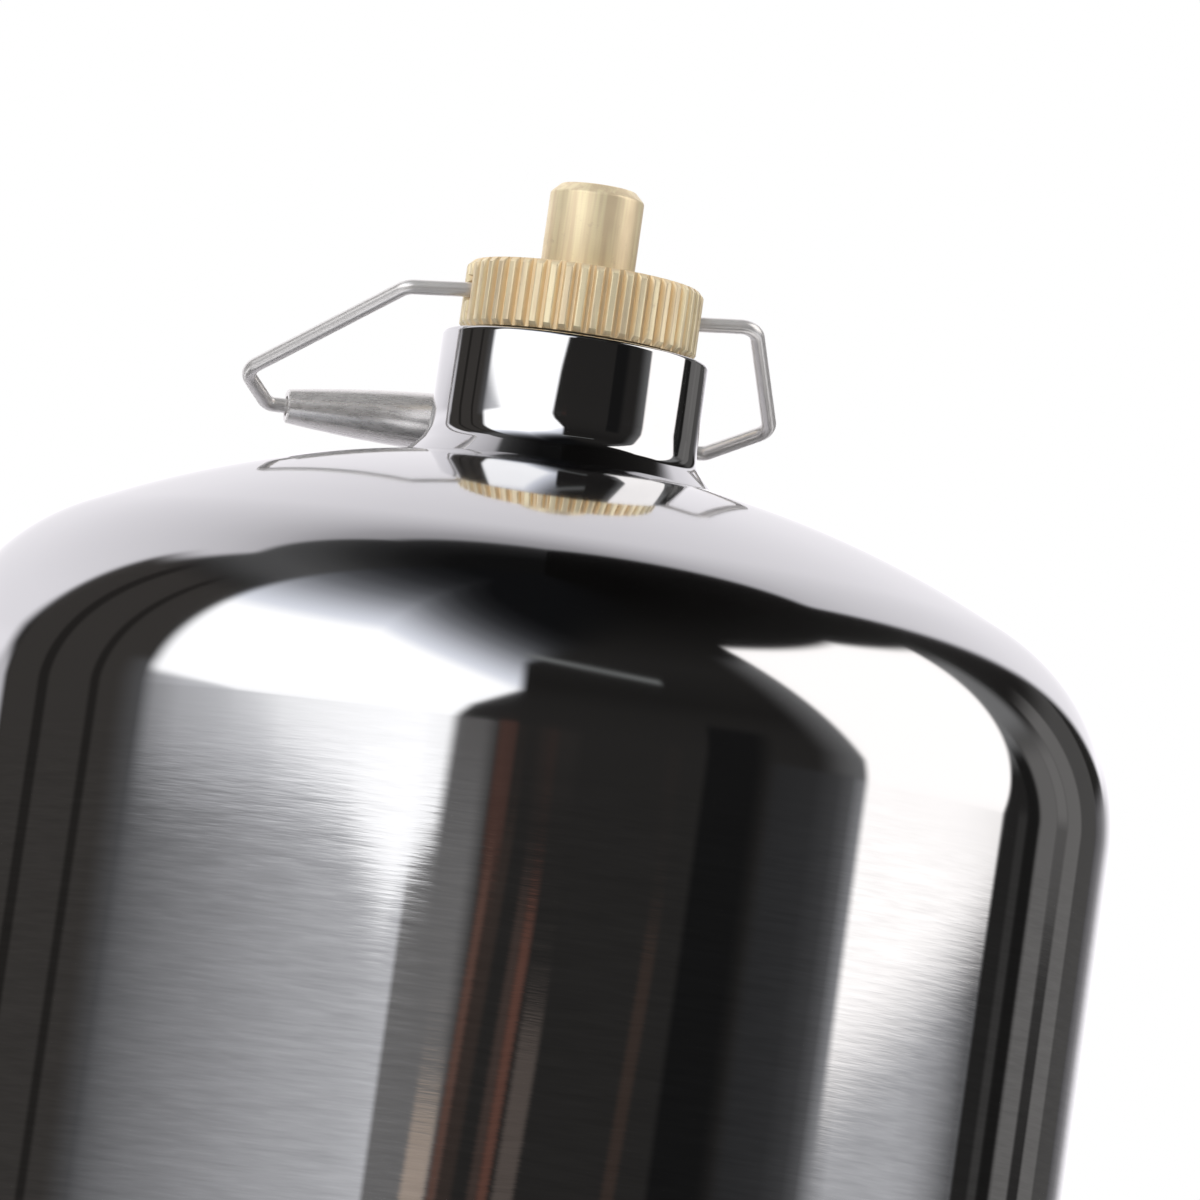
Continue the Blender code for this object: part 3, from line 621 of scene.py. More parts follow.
def vessel_steel(name, settings, top, full, tint=1.0):
    """Mirror polish above, brushed round the axis below."""
    steel = Finish(name, settings.colour, 1.0, settings.polish)
    mask, lines = steel.group("Brushed lines", vector=steel.place, top=top, full=full).values()
    polish = steel.line(steel.smudge(28.0), 0.012, settings.polish)
    polish = steel.times(polish, steel.minus(1.0, mask))
    brushed = steel.line(lines, 0.025, settings.brushing)
    tangent = steel.add("ShaderNodeTangent", direction_type="RADIAL", axis="Z")
    steel.set("Tangent", tangent.outputs["Tangent"])
    steel.set("Anisotropic", 1.0)
    steel.set("Anisotropic Rotation", 0.25)
    tone = steel.tone(steel.remap(lines, -0.5, 0.5, smooth=False), 0.80 * tint, 1.17 * tint)
    return steel.done(steel.line(brushed, mask, polish), tone, lines, depth=0.00002, strength=0.06)


def polished_steel(name, settings):
    steel = Finish(name, settings.colour, 1.0, settings.polish)
    smudge = steel.smudge(70.0)
    rough = steel.line(smudge, 0.015, settings.polish)
    turning = steel.turning(POLISHED_PITCH, 0.2)
    return steel.done(rough, steel.tone(smudge, 1.02, 0.97), turning, depth=0.000002, strength=0.3)


def weld_steel(name, settings):
    """A ground weld bead: darker, with ripples and grinding marks."""
    colour = tuple(part * 0.78 for part in settings.colour)
    weld = Finish(name, colour, 1.0, 0.42)
    ripple = weld.grain(900.0)
    straw = opaque((colour[0] * 1.1, colour[1] * 1.02, colour[2] * 0.9))
    tone = weld.mix(weld.grain(120.0), shade(colour, 0.82), straw)
    return weld.done(weld.spread(ripple, 0.34, 0.52), tone, ripple, depth=0.0002, strength=0.5)


def turned_brass(name, settings, grooved=False):
    """Brass off the lathe: fine turning marks, streaks along the height, and rubbed patches.

    A grooved piece gets painted shade between its teeth: its colour turns darker and warmer towards the tooth
    roots.
    """
    brass = Finish(name, settings.colour, 0.50, settings.roughness)
    turning = brass.turning(TURNING_PITCH, 0.3)
    streaks = brass.streaks(BRASS_STREAKS, 2.0)
    specks = brass.remap(brass.grain(700.0), 0.60, 0.74)
    rough = brass.line(brass.smudge(260.0), 0.10, settings.roughness - 0.03)
    tone = brass.tone(brass.remap(streaks, 0.34, 0.66), 0.84, 1.10)
    tone = brass.mix(brass.times(specks, 0.5), tone, shade(brass.colour, 0.74))
    if grooved:
        # Painted shade: the brass darkens and warms from near the crests down to the roots of the teeth.
        root, groove_shade_top = RING_RADIUS - TOOTH_DEPTH, RING_RADIUS - 0.2 * TOOTH_DEPTH
        out_of_groove_shade = brass.remap(brass.off_axis(brass.place), root, groove_shade_top)
        red, green, blue = brass.colour
        tone = brass.mix(out_of_groove_shade, shade((red, green * 0.95, blue * 0.86), 0.93), tone)
    grain = brass.remap(turning, -0.3, 0.3, smooth=False)
    tone = brass.mix(brass.times(grain, 0.25), tone, shade(brass.colour, 0.84))
    return brass.done(brass.line(streaks, 0.08, rough), tone, turning, depth=0.000006, strength=0.5)


def drawn_wire(name, settings, roughness):
    """Drawn steel with a fine grain."""
    wire = Finish(name, settings.colour, 0.65, roughness)
    grain = wire.grain(1400.0)
    rough = wire.line(wire.smudge(320.0), 0.08, roughness)
    return wire.done(rough, wire.tone(grain, 0.96, 1.04), grain, depth=0.000002, strength=0.05)


def grip_steel(name, settings):
    """The grip, brushed along its length."""
    rough = settings.grip_roughness
    grip = Finish(name, settings.colour, 0.7, rough)
    grain = grip.streaks(GRIP_LINES, 3.0)
    tone = grip.tone(grip.remap(grain, 0.3, 0.7), 0.97, 1.14)
    return grip.done(grip.spread(grain, rough - 0.05, rough + 0.06), tone, grain, depth=0.00001, strength=0.5)


def rubber(name):
    seal = Finish(name, (0.02, 0.02, 0.022), 0.0, 0.6)
    grain = seal.grain(2600.0)
    tone = seal.mix(seal.noise(seal.place, 300.0), opaque(0.014), opaque(0.03))
    return seal.done(seal.spread(grain, 0.52, 0.7), tone, grain, depth=0.00002, strength=0.4)


def seal_polymer(name):
    seal = Finish(name, (0.80, 0.79, 0.76), 0.0, 0.42)
    grain = seal.grain(1800.0)
    rough = seal.spread(grain, 0.36, 0.5)
    return seal.done(rough, seal.tone(grain, 0.94, 1.03), grain, depth=0.00001, strength=0.3)


def sintered_bronze(name):
    """Small balls pressed together, with dark pores between them: painted shade in the pores."""
    bronze = Finish(name, (0.42, 0.30, 0.18), 1.0, 0.6)
    balls = bronze.add("ShaderNodeTexVoronoi", {"Vector": bronze.place, "Scale": 3000.0})
    ball = bronze.remap(balls.outputs["Distance"], 0.1, 0.7, 1.0, 0.0)
    rough = bronze.remap(ball, 0.0, 1.0, 0.85, 0.5, smooth=False)
    # Painted shade: the colour darkens from each ball's middle towards the pores at its edge, and is lighter
    # at the middle.
    return bronze.done(rough, bronze.tone(ball, 0.3, 1.2), ball, depth=0.0002, strength=0.7)


def finished(name):
    """The material of that name, made the first time that it is asked for."""
    for material in bpy.data.materials:
        if material.get("finish") == name:
            return material
    scene = bpy.context.scene
    steel, brass, bail = scene.canister_steel, scene.canister_brass, scene.canister_bail
    maker, *values = {
        "vessel steel": (vessel_steel, steel, steel.brush_top, steel.brush_full),
        "foot steel": (vessel_steel, steel, *ALL_BRUSHED, 0.92),
        "ground seam": (vessel_steel, steel, *ALL_BRUSHED, 0.90),
        "collar steel": (polished_steel, steel),
        "weld": (weld_steel, steel),
        "brass": (turned_brass, brass),
        "ring brass": (turned_brass, brass, True),
        "wire": (drawn_wire, bail, bail.wire_roughness),
        "spring wire": (drawn_wire, bail, 0.25),
        "grip": (grip_steel, bail),
        "rubber": (rubber,),
        "seal polymer": (seal_polymer,),
        "filter bronze": (sintered_bronze,),
    }[name]
    material = maker(name, *values)
    material["finish"] = name
    return material


# Meshes

def link(obj):
    bpy.context.scene.collection.objects.link(obj)
    return obj


def crisp(name, mesh):
    """An object of this mesh, smooth but for its edges."""
    mesh.name = name
    mesh.shade_smooth()
    mesh.set_sharp_from_angle(angle=SHARP_ANGLE)
    return link(bpy.data.objects.new(name, mesh))


def worked_mesh(name, work):
    mesh = bpy.data.meshes.new(name)
    work.to_mesh(mesh)
    work.free()
    return mesh


def lathe(name, section, angles, shape=None):
    """Turns a section of (radius, height) points about Z.

    A section that starts and ends on the axis is closed there. Shape may change a point's radius by its angle.
    """
    on_axis = section[0][0] == 0.0 and section[-1][0] == 0.0
    inner = section[1:-1] if on_axis else section
    rows, turns = len(inner), len(angles)
    vertices = []
    for angle in angles:
        for radius, height in inner:
            r = shape(radius, height, angle) if shape else radius
            vertices.append((r * math.cos(angle), r * math.sin(angle), height))
    faces = []
    for t in range(turns):
        here, there = t * rows, (t + 1) % turns * rows
        for i in range(rows - 1 if on_axis else rows):
            j = (i + 1) % rows
            faces.append((here + i, there + i, there + j, here + j))
    if on_axis:
        for end, row in ((0, 0), (-1, rows - 1)):
            vertices.append((0.0, 0.0, section[end][1]))
            tip = len(vertices) - 1
            faces += [(t * rows + row, (t + 1) % turns * rows + row, tip) for t in range(turns)]
    mesh = bpy.data.meshes.new(name)
    mesh.from_pydata(vertices, [], faces)
    work = bmesh.new()
    work.from_mesh(mesh)
    bmesh.ops.recalc_face_normals(work, faces=work.faces)
    work.to_mesh(mesh)
    work.free()
    return crisp(name, mesh)


def even_angles(steps):
    return [math.tau * i / steps for i in range(steps)]


def eased_corner(before, corner, after, rounding, segments):
    """Points of the arc that takes a corner's place."""
    back = (before - corner).normalized()
    ahead = (after - corner).normalized()
    half = back.angle(ahead) / 2
    centre = corner + (back + ahead).normalized() * (rounding / math.sin(half))
    cut = rounding / math.tan(half)
    start = corner + back * cut - centre
    end = corner + ahead * cut - centre
    turn = start.angle(end)
    points = []
    for i in range(segments + 1):
        share = i / segments
        first = math.sin((1 - share) * turn) / math.sin(turn)
        second = math.sin(share * turn) / math.sin(turn)
        points.append(centre + start * first + end * second)
    return points


def rounded_section(*corners):
    """A section through (radius, height, rounding) corners, each eased by its own rounding."""
    points = []
    for i, (radius, height, rounding) in enumerate(corners):
        corner = Vector((radius, height))
        if rounding == 0.0:
            points.append(tuple(corner))
            continue
        before = Vector(corners[i - 1][:2])
        after = Vector(corners[(i + 1) % len(corners)][:2])
        points += [tuple(p) for p in eased_corner(before, corner, after, rounding, EDGE_STEPS)]
    return points


def applied(source, name):
    """A mesh object made of what the source's curve or modifiers give. The source goes."""
    bpy.context.view_layer.update()
    graph = bpy.context.evaluated_depsgraph_get()
    mesh = bpy.data.meshes.new_from_object(source.evaluated_get(graph))
    bpy.data.objects.remove(source, do_unlink=True)
    return crisp(name, mesh)


def round_wire(name, points, radius, resolution):
    """A closed round tube along these points."""
    data = bpy.data.curves.new(name, "CURVE")
    data.dimensions = "3D"
    data.bevel_depth = radius
    data.bevel_resolution = resolution
    data.use_fill_caps = True
    spline = data.splines.new("POLY")
    spline.points.add(len(points) - 1)
    for point, place in zip(spline.points, points):
        point.co = (*place, 1.0)
    return applied(link(bpy.data.objects.new(name + "_guide", data)), name)


def drilled(obj, radius, runs):
    """Cuts round holes of one radius, each from one point to another."""
    name = obj.name
    tools = []
    for first, last in runs:
        way = last - first
        work = bmesh.new()
        bmesh.ops.create_cone(
            work, cap_ends=True, segments=DRILL_STEPS, radius1=radius, radius2=radius, depth=way.length
        )
        tool = link(bpy.data.objects.new("drill", worked_mesh("drill", work)))
        turn = way.to_track_quat("Z", "Y").to_matrix().to_4x4()
        tool.matrix_world = Matrix.Translation((first + last) / 2) @ turn
        cut = obj.modifiers.new("Drill", "BOOLEAN")
        cut.operation = "DIFFERENCE"
        cut.solver = "EXACT"
        cut.object = tool
        tools.append(tool)
    obj.name = name + "_blank"
    result = applied(obj, name)
    for tool in tools:
        bpy.data.objects.remove(tool, do_unlink=True)
    return result


def dress(obj, material, body, slot, *nodes):
    """Gives a piece its material and body, and lets it stand for CAD nodes. The slot is not used."""
    obj.data.materials.clear()
    obj.data.materials.append(finished(material))
    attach(obj, body)
    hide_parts(*nodes)
    return obj


def paint(node, material):
    """Gives a CAD node that stays a finished material."""
    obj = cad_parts[node]
    if not obj.material_slots:
        obj.data.materials.append(None)
    for slot in obj.material_slots:
        slot.material = finished(material)


def head_section(apex, way, inset, start_radius, steps):
    """A dished head's (radius, height) points, from its apex up (1) or down (-1) to the wall."""
    crown, knuckle = CROWN_RADIUS - inset, KNUCKLE_RADIUS - inset
    start = math.asin(start_radius / crown)
    meet = math.asin((BODY_RADIUS - KNUCKLE_RADIUS) / (CROWN_RADIUS - KNUCKLE_RADIUS))
    depth = CROWN_RADIUS - (CROWN_RADIUS - KNUCKLE_RADIUS) * math.cos(meet)
    points = []
    for i in range(steps[0] + 1):
        angle = start + (meet - start) * i / steps[0]
        points.append((crown * math.sin(angle), apex + way * (CROWN_RADIUS - crown * math.cos(angle))))
    for i in range(1, steps[1] + 1):
        angle = meet + (math.pi / 2 - meet) * i / steps[1]
        radius = BODY_RADIUS - KNUCKLE_RADIUS + knuckle * math.sin(angle)
        points.append((radius, apex + way * (depth - knuckle * math.cos(angle))))
    return points


def crown_drop(radius):
    return CROWN_RADIUS - math.sqrt(CROWN_RADIUS**2 - radius**2)


def threaded(radius, height, angle, pitch, depth):
    """The radius of a V thread with flat crests, cut below and a little above the nominal radius."""
    phase = (height / pitch - angle / math.tau) % 1.0
    valley = max(0.0, 1.0 - abs(phase - 0.5) / THREAD_FLANK_SHARE)
    return radius + THREAD_CREST - depth * valley


def along(radius, start, end, rows):
    """Even points down a straight wall."""
    return [(radius, start + (end - start) * i / rows) for i in range(rows + 1)]


# Pieces

class CanisterVessel(bpy.types.Operator):
    """Makes the two drawn halves of the vessel, the seam between them and the foot ring"""

    bl_idname = "canister.vessel"
    bl_label = "Vessel"

    def execute(self, context):
        angles = even_angles(VESSEL_STEPS)
        hole = SPIGOT_RADIUS + SEAT_GAP
        edge = SEAM_HIGH_Z
        outer = head_section(APEX_Z, -1, 0.0, hole, TOP_HEAD_STEPS)
        inner = head_section(APEX_Z, -1, SHEET, hole, INNER_HEAD_STEPS)
        wall = [(BODY_RADIUS, edge + SHEET_EDGE), (BODY_RADIUS - SHEET_EDGE, edge), (INNER_RADIUS, edge)]
        upper = lathe("upper_shell_fine", outer + wall + inner[::-1], angles)
        dress(upper, "vessel steel", "vessel", "polished_steel", "upper_shell")

        edge = SEAM_LOW_Z
        lip_outer = INNER_RADIUS - SEAT_GAP
        lip_inner = lip_outer - SHEET
        inner = head_section(FLOOR_CLEARANCE, 1, SHEET, 0.0, INNER_HEAD_STEPS)
        outer = head_section(FLOOR_CLEARANCE, 1, 0.0, 0.0, BOTTOM_HEAD_STEPS)
        joggle = [
            (INNER_RADIUS, edge - JOGGLE_BEND_LOW),
            (lip_inner, edge - JOGGLE_BEND_HIGH),
            (lip_inner, SEAM_HIGH_Z + JOGGLE_LENGTH),
            (lip_outer, SEAM_HIGH_Z + JOGGLE_LENGTH),
            (lip_outer, edge),
            (BODY_RADIUS - SHEET_EDGE, edge),
            (BODY_RADIUS, edge - SHEET_EDGE),
        ]
        lower = lathe("lower_shell_fine", inner + joggle + outer[::-1], angles)
        dress(lower, "vessel steel", "vessel", "brushed_steel", "lower_shell")

        low, high = SEAM_LOW_Z + SEAT_GAP, SEAM_HIGH_Z - SEAT_GAP
        bead = [(INNER_RADIUS, low, 0.0), (INNER_RADIUS, high, 0.0)]
        bead += [(BODY_RADIUS, high, SEAM_EDGE), (BODY_RADIUS, low, SEAM_EDGE)]
        seam = lathe("girth_weld_fine", rounded_section(*bead), angles)
        dress(seam, "ground seam", "vessel", "weld_steel", "girth_weld")
        self.foot()
        return {"FINISHED"}

    def foot(self):
        def bottom(radius):
            return FLOOR_CLEARANCE + crown_drop(radius) - SEAT_GAP

        inside = FOOT_RADIUS - FOOT_WALL
        section = rounded_section(
            (FOOT_RADIUS, bottom(FOOT_RADIUS), 0.0),
            (FOOT_RADIUS, 0.0, FOOT_EDGE * 2),
            (FOOT_LIP, 0.0, FOOT_EDGE / 2),
            (FOOT_LIP, FOOT_WALL, FOOT_EDGE / 2),
            (inside, FOOT_WALL, FOOT_EDGE),
            (inside, bottom(inside), 0.0),
        )
        ring = lathe("foot_ring_fine", section, even_angles(NECK_STEPS))
        height = Vector((0.0, 0.0, VENT_HEIGHT))
        ways = [Vector((math.cos(angle), math.sin(angle), 0.0)) for angle in VENT_ANGLES]
        reaches = [way * FOOT_RADIUS * VENT_REACH for way in ways]
        ring = drilled(ring, VENT_RADIUS, [(height - reach, height + reach) for reach in reaches])
        dress(ring, "foot steel", "vessel", "brushed_steel", "foot_ring")

        start, leg = FOOT_RADIUS + SEAT_GAP, FOOT_WELD_LEG
        top = bottom(start)
        face = [(start + out * leg, top - down * leg) for out, down in FOOT_WELD_FACE]
        bead = [(start, top), (start + leg, bottom(start + leg)), *face, (start, top - leg)]

        def ripple(radius, height, angle):
            return radius if radius <= start else radius + RIPPLE_DEPTH * math.sin(angle * RIPPLE_COUNT)

        weld = lathe("foot_weld_fine", bead, even_angles(WELD_STEPS), ripple)
        dress(weld, "weld", "vessel", "weld_steel", "foot_weld")


class CanisterCollar(bpy.types.Operator):
    """Makes the polished neck collar, which runs out into the head in a cove"""

    bl_idname = "canister.collar"
    bl_label = "Neck collar"

    def execute(self, context):
        cove = cove_section()
        seats = (FLARE_RADIUS - FLARE_UNDERCUT, SPIGOT_RADIUS)
        under = [(r, APEX_Z - crown_drop(r) - SHEET_EDGE) for r in seats]
        rim = rounded_section(
            (COLLAR_THREAD_RADIUS, SHOULDER_Z, 0.0),
            (COLLAR_THREAD_RADIUS, COLLAR_TOP_Z, COLLAR_RIM),
            (COLLAR_RADIUS, COLLAR_TOP_Z, COLLAR_RIM),
            (*cove[0], 0.0),
        )[:-1]
        spigot = [(SPIGOT_RADIUS, SPIGOT_END_Z), (SPIGOT_BORE_RADIUS, SPIGOT_END_Z)]
        spigot += [(SPIGOT_BORE_RADIUS, SHOULDER_Z)]
        collar = lathe("neck_collar_fine", rim + cove + under + spigot, even_angles(VESSEL_STEPS))
        dress(collar, "collar steel", "vessel", "polished_steel", "neck_collar")

        inside, top = RING_THREAD_RADIUS + SEAT_GAP, WASHER_Z + WASHER_THICKNESS
        section = rounded_section(
            (inside, top, 0.0),
            (WASHER_RADIUS, top, WASHER_EDGE),
            (WASHER_RADIUS, WASHER_Z, WASHER_EDGE),
            (inside, WASHER_Z, 0.0),
        )
        washer = lathe("gland_washer_fine", section, even_angles(NECK_STEPS))
        dress(washer, "rubber", "gland_lift", "black_rubber", "gland_washer")
        paint("neck_weld", "weld")
        return {"FINISHED"}


def cove_section():
    """The collar's run-out from its wall to the head: arcs of falling radius, then a straight cone."""
    foot = (FLARE_RADIUS, APEX_Z - crown_drop(FLARE_RADIUS) - FLARE_GAP)
    radius, height, tilt = COLLAR_RADIUS, 0.0, 0.0
    bends = [(radius, height)]
    for rounding, turned in COVE_SWEEPS:
        for i in range(1, COVE_STEPS + 1):
            angle = tilt + (turned - tilt) * i / COVE_STEPS
            out = rounding * (math.cos(tilt) - math.cos(angle))
            down = rounding * (math.sin(angle) - math.sin(tilt))
            bends.append((radius + out, height - down))
        radius, height = bends[-1]
        tilt = turned
    lift = foot[1] + (FLARE_RADIUS - radius) / math.tan(tilt) - height
    return [(r, h + lift) for r, h in bends] + [foot]


class CanisterGlandRing(bpy.types.Operator):
    """Makes the knurled brass ring with its bail holes and its threaded skirt"""

    bl_idname = "canister.gland_ring"
    bl_label = "Gland ring"

    def execute(self, context):
        rounding = context.scene.canister_brass.tooth_rounding
        blank = RING_RADIUS + TOOTH_DEPTH
        slope = RING_CHAMFER + TOOTH_DEPTH
        neck = RING_THREAD_RADIUS - RING_THREAD_DEPTH
        section = [(RING_BORE_RADIUS, RING_TOP_Z - RING_EDGE), (RING_BORE_RADIUS + RING_EDGE, RING_TOP_Z)]
        section += [
            (RING_RADIUS - RING_CHAMFER, RING_TOP_Z),
            (RING_RADIUS - TOOTH_DEPTH / 2, RING_TOP_Z - RING_EDGE),
            (RING_RADIUS, RING_TOP_Z - RING_CHAMFER),
        ]
        section += along(blank, RING_TOP_Z - slope, RING_Z + slope, TOOTH_ROWS)
        section += [(RING_RADIUS, RING_Z + RING_CHAMFER), (RING_RADIUS - RING_CHAMFER, RING_Z)]
        section += [(RECESS_RADIUS, RING_Z), (RECESS_RADIUS, RECESS_Z), (neck, RECESS_Z)]
        thread_ends = (RECESS_Z - RING_THREAD_END, RING_BOTTOM_Z + RING_THREAD_END)
        section += along(RING_THREAD_RADIUS, *thread_ends, RING_THREAD_ROWS)
        section += [(neck, RING_BOTTOM_Z), (RING_BORE_RADIUS, RING_BOTTOM_Z)]

        def shape(radius, height, angle):
            if radius == RING_THREAD_RADIUS:
                return threaded(radius, height, angle, RING_PITCH, RING_THREAD_DEPTH)
            return min(radius, tooth_radius(angle, rounding))

        ring = lathe("knurled_ring_fine", section, tooth_angles(), shape)
        ends = (RING_RADIUS - PIVOT_HOLE_DEPTH, RING_RADIUS + TOOTH_DEPTH)
        runs = [[Vector((side * end, 0.0, PIVOT_Z)) for end in ends] for side in (-1, 1)]
        ring = drilled(ring, PIVOT_HOLE_RADIUS, runs)
        dress(ring, "ring brass", "gland", "brass", "knurled_ring")
        return {"FINISHED"}


def tooth_angles():
    """Angles round the ring, closer together where a tooth bends."""
    shares = (-0.5, *(-place for place in TOOTH_PLACES[::-1]), 0.0, *TOOTH_PLACES)
    return [math.tau * (tooth + share) / TOOTH_COUNT for tooth in range(TOOTH_COUNT) for share in shares]


def tooth_radius(angle, rounding):
    """The knurling's outline: a crest, two flanks and a root, with eased corners."""
    turn = angle / math.tau * TOOTH_COUNT
    away = abs(turn - round(turn))
    rise = (TOOTH_CREST_SHARE / 2 + TOOTH_FLANK_SHARE - away) / TOOTH_FLANK_SHARE
    rise = max(0.0, min(1.0, rise))
    eased = rise * rise * (3 - 2 * rise)
    crown = TOOTH_CROWN_SHARE * (away / 0.5) ** 2
    return RING_RADIUS - TOOTH_DEPTH * (1 - rise * (1 - rounding) - eased * rounding) - TOOTH_DEPTH * crown


class CanisterValve(bpy.types.Operator):
    """Makes the valve body with its threaded stub, and finishes what is inside the valve"""

    bl_idname = "canister.valve"
    bl_label = "Valve"

    def execute(self, context):
        neck = STUB_RADIUS - STUB_THREAD_DEPTH
        section = [(PORT_RADIUS, STUB_TOP_Z - PORT_CHAMFER), (PORT_RADIUS + PORT_CHAMFER, STUB_TOP_Z)]
        section += [(STUB_RADIUS - STUB_CHAMFER, STUB_TOP_Z)]
        thread_ends = (STUB_TOP_Z - STUB_CHAMFER, SHANK_TOP_Z + STUB_NECK * 2)
        section += along(STUB_RADIUS, *thread_ends, STUB_THREAD_ROWS)
        section += [(neck, SHANK_TOP_Z + STUB_NECK), (neck, SHANK_TOP_Z)]
        section += rounded_section(
            (SHANK_RADIUS, SHANK_TOP_Z, SHANK_EDGE),
            (SHANK_RADIUS, FLANGE_TOP_Z, 0.0),
            (FLANGE_RADIUS, FLANGE_TOP_Z, FLANGE_EDGE),
        )[:-1]
        section += [(FLANGE_RADIUS, FLANGE_TOP_Z), (FLANGE_RADIUS, FLANGE_Z), (SHANK_RADIUS, FLANGE_Z)]
        section += [(SHANK_RADIUS, TAIL_Z), (CHAMBER_RADIUS, TAIL_Z), (CHAMBER_RADIUS, VALVE_SEAT_Z)]
        section += [(PORT_RADIUS, VALVE_SEAT_Z)]

        def shape(radius, height, angle):
            if radius == STUB_RADIUS:
                return threaded(radius, height, angle, STUB_PITCH, STUB_THREAD_DEPTH)
            return radius

        body = lathe("valve_body_fine", section, even_angles(FINE_STEPS), shape)
        dress(body, "brass", "vessel", "brass", "valve_body")
        self.spring()
        for node, material in (
            ("valve_gasket", "seal polymer"),
            ("valve_poppet", "spring wire"),
            ("poppet_seal", "rubber"),
            ("spring_retainer", "brass"),
            ("filter_disc", "filter bronze"),
            ("tube_nut", "brass"),
            ("dip_tube", "wire"),
        ):
            paint(node, material)
        return {"FINISHED"}

    def spring(self):
        low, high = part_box("valve_spring")
        whole = high.z - low.z
        count = SPRING_TURNS * SPRING_STEPS
        points = []
        for i in range(count + 1):
            angle = math.tau * i / SPRING_STEPS
            height = low.z + SPRING_WIRE / 2 + (whole - SPRING_WIRE) * i / count
            points.append(Vector((SPRING_RADIUS * math.cos(angle), SPRING_RADIUS * math.sin(angle), height)))
        coil = round_wire("valve_spring_coil", points, SPRING_WIRE / 2, SPRING_BEVEL_STEPS)
        dress(coil, "spring wire", "vessel", "spring_steel", "valve_spring")
        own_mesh(coil)


class CanisterDustCap(bpy.types.Operator):
    """Makes the plain brass dust cap with its chamfered top"""

    bl_idname = "canister.dust_cap"
    bl_label = "Dust cap"

    def execute(self, context):
        ceiling = CAP_TOP_Z - CAP_TOP
        section = rounded_section(
            (0.0, CAP_TOP_Z, 0.0),
            (CAP_RADIUS - CAP_CHAMFER, CAP_TOP_Z, CAP_TOP_EDGE),
            (CAP_RADIUS, CAP_TOP_Z - CAP_CHAMFER, CAP_SIDE_EDGE),
            (CAP_RADIUS, CAP_Z, CAP_EDGE),
            (CAP_BORE_RADIUS, CAP_Z, CAP_BORE_EDGE),
            (CAP_BORE_RADIUS, ceiling, 0.0),
            (0.0, ceiling, 0.0),
        )
        cap = lathe("dust_cap_fine", section, even_angles(FINE_STEPS))
        dress(cap, "brass", "cap", "brass", "dust_cap")
        paint("cap_gasket", "rubber")
        return {"FINISHED"}


def bail_place():
    """From the bail's own frame, in which it hangs straight down, to where its grip rests on the collar."""
    reach = COLLAR_RADIUS + GRIP_MIDDLE_RADIUS + SEAT_GAP
    lean = reach * math.sin(BAIL_LEAN)
    swing = math.asin(reach * math.cos(BAIL_LEAN) / math.sqrt(GRIP_DROP**2 - lean**2))
    return Matrix.Translation((0.0, 0.0, PIVOT_Z)) @ Matrix.Rotation(swing, 4, "X")


def bail_point(across, down):
    across -= BAIL_SHEAR * down
    sine, cosine = math.sin(BAIL_LEAN), math.cos(BAIL_LEAN)
    return Vector((across * cosine + down * sine, 0.0, across * sine - down * cosine))


class CanisterBail(bpy.types.Operator):
    """Makes the bent wire bail and the barrel grip that turns on it"""

    bl_idname = "canister.bail"
    bl_label = "Bail and grip"

    def execute(self, context):
        corners = (
            (Vector((-RING_RADIUS, 0.0, -PIN_DROP)), WIRE_BEND),
            (bail_point(-SHOULDER_HALF, 0.0), WIRE_BEND),
            (bail_point(-CORNER_HALF, CORNER_DROP), WIRE_BEND),
            (bail_point(-STRAIGHT_HALF, GRIP_DROP), GRIP_BEND),
            (bail_point(STRAIGHT_HALF, GRIP_DROP), GRIP_BEND),
            (bail_point(CORNER_HALF, CORNER_DROP), WIRE_BEND),
            (bail_point(SHOULDER_HALF, 0.0), WIRE_BEND),
            (Vector((RING_RADIUS, 0.0, PIN_DROP)), WIRE_BEND),
        )
        ends = [Vector((side * PIN_END, 0.0, 0.0)) for side in (-1, 1)]
        places = [ends[0], *(corner for corner, _ in corners), ends[1]]
        points = [ends[0]]
        for before, (corner, bend), after in zip(places, corners, places[2:]):
            points += eased_corner(before, corner, after, bend, BEND_STEPS)
        place = bail_place()
        wire = round_wire("bail_wire_fine", points + [ends[1]], WIRE_RADIUS, WIRE_BEVEL_STEPS)
        wire.data.transform(place)
        dress(wire, "wire", "bail", "wire_steel", "bail_wire")

        bulge = GRIP_MIDDLE_RADIUS - GRIP_END_RADIUS
        edge = GRIP_HALF - GRIP_EDGE
        section = [(GRIP_BORE_RADIUS, GRIP_HALF), (GRIP_END_RADIUS - GRIP_EDGE, GRIP_HALF)]
        for i in range(GRIP_ROWS + 1):
            along_bar = edge * (1 - 2 * i / GRIP_ROWS)
            section.append((GRIP_MIDDLE_RADIUS - bulge * (along_bar / edge) ** 2, along_bar))
        section += [(GRIP_END_RADIUS - GRIP_EDGE, -GRIP_HALF), (GRIP_BORE_RADIUS, -GRIP_HALF)]
        grip = lathe("bail_grip_fine", section, even_angles(FINE_STEPS))
        turn = Matrix.Rotation(math.pi / 2 - BAIL_LEAN, 4, "Y")
        grip.data.transform(place @ Matrix.Translation(bail_point(0.0, GRIP_DROP)) @ turn)
        dress(grip, "grip", "grip", "wire_steel", "bail_grip")
        return {"FINISHED"}


# Studio

def grey(level, tint=PLAIN):
    """The card brightness at which the steel shows this grey, given as a screen level of 0 to 255."""
    share = level / 255
    linear = share / 12.92 if share <= 0.04045 else ((share + 0.055) / 1.055) ** 2.4
    return opaque(tuple(linear * METAL_GAIN * part for part in tint))


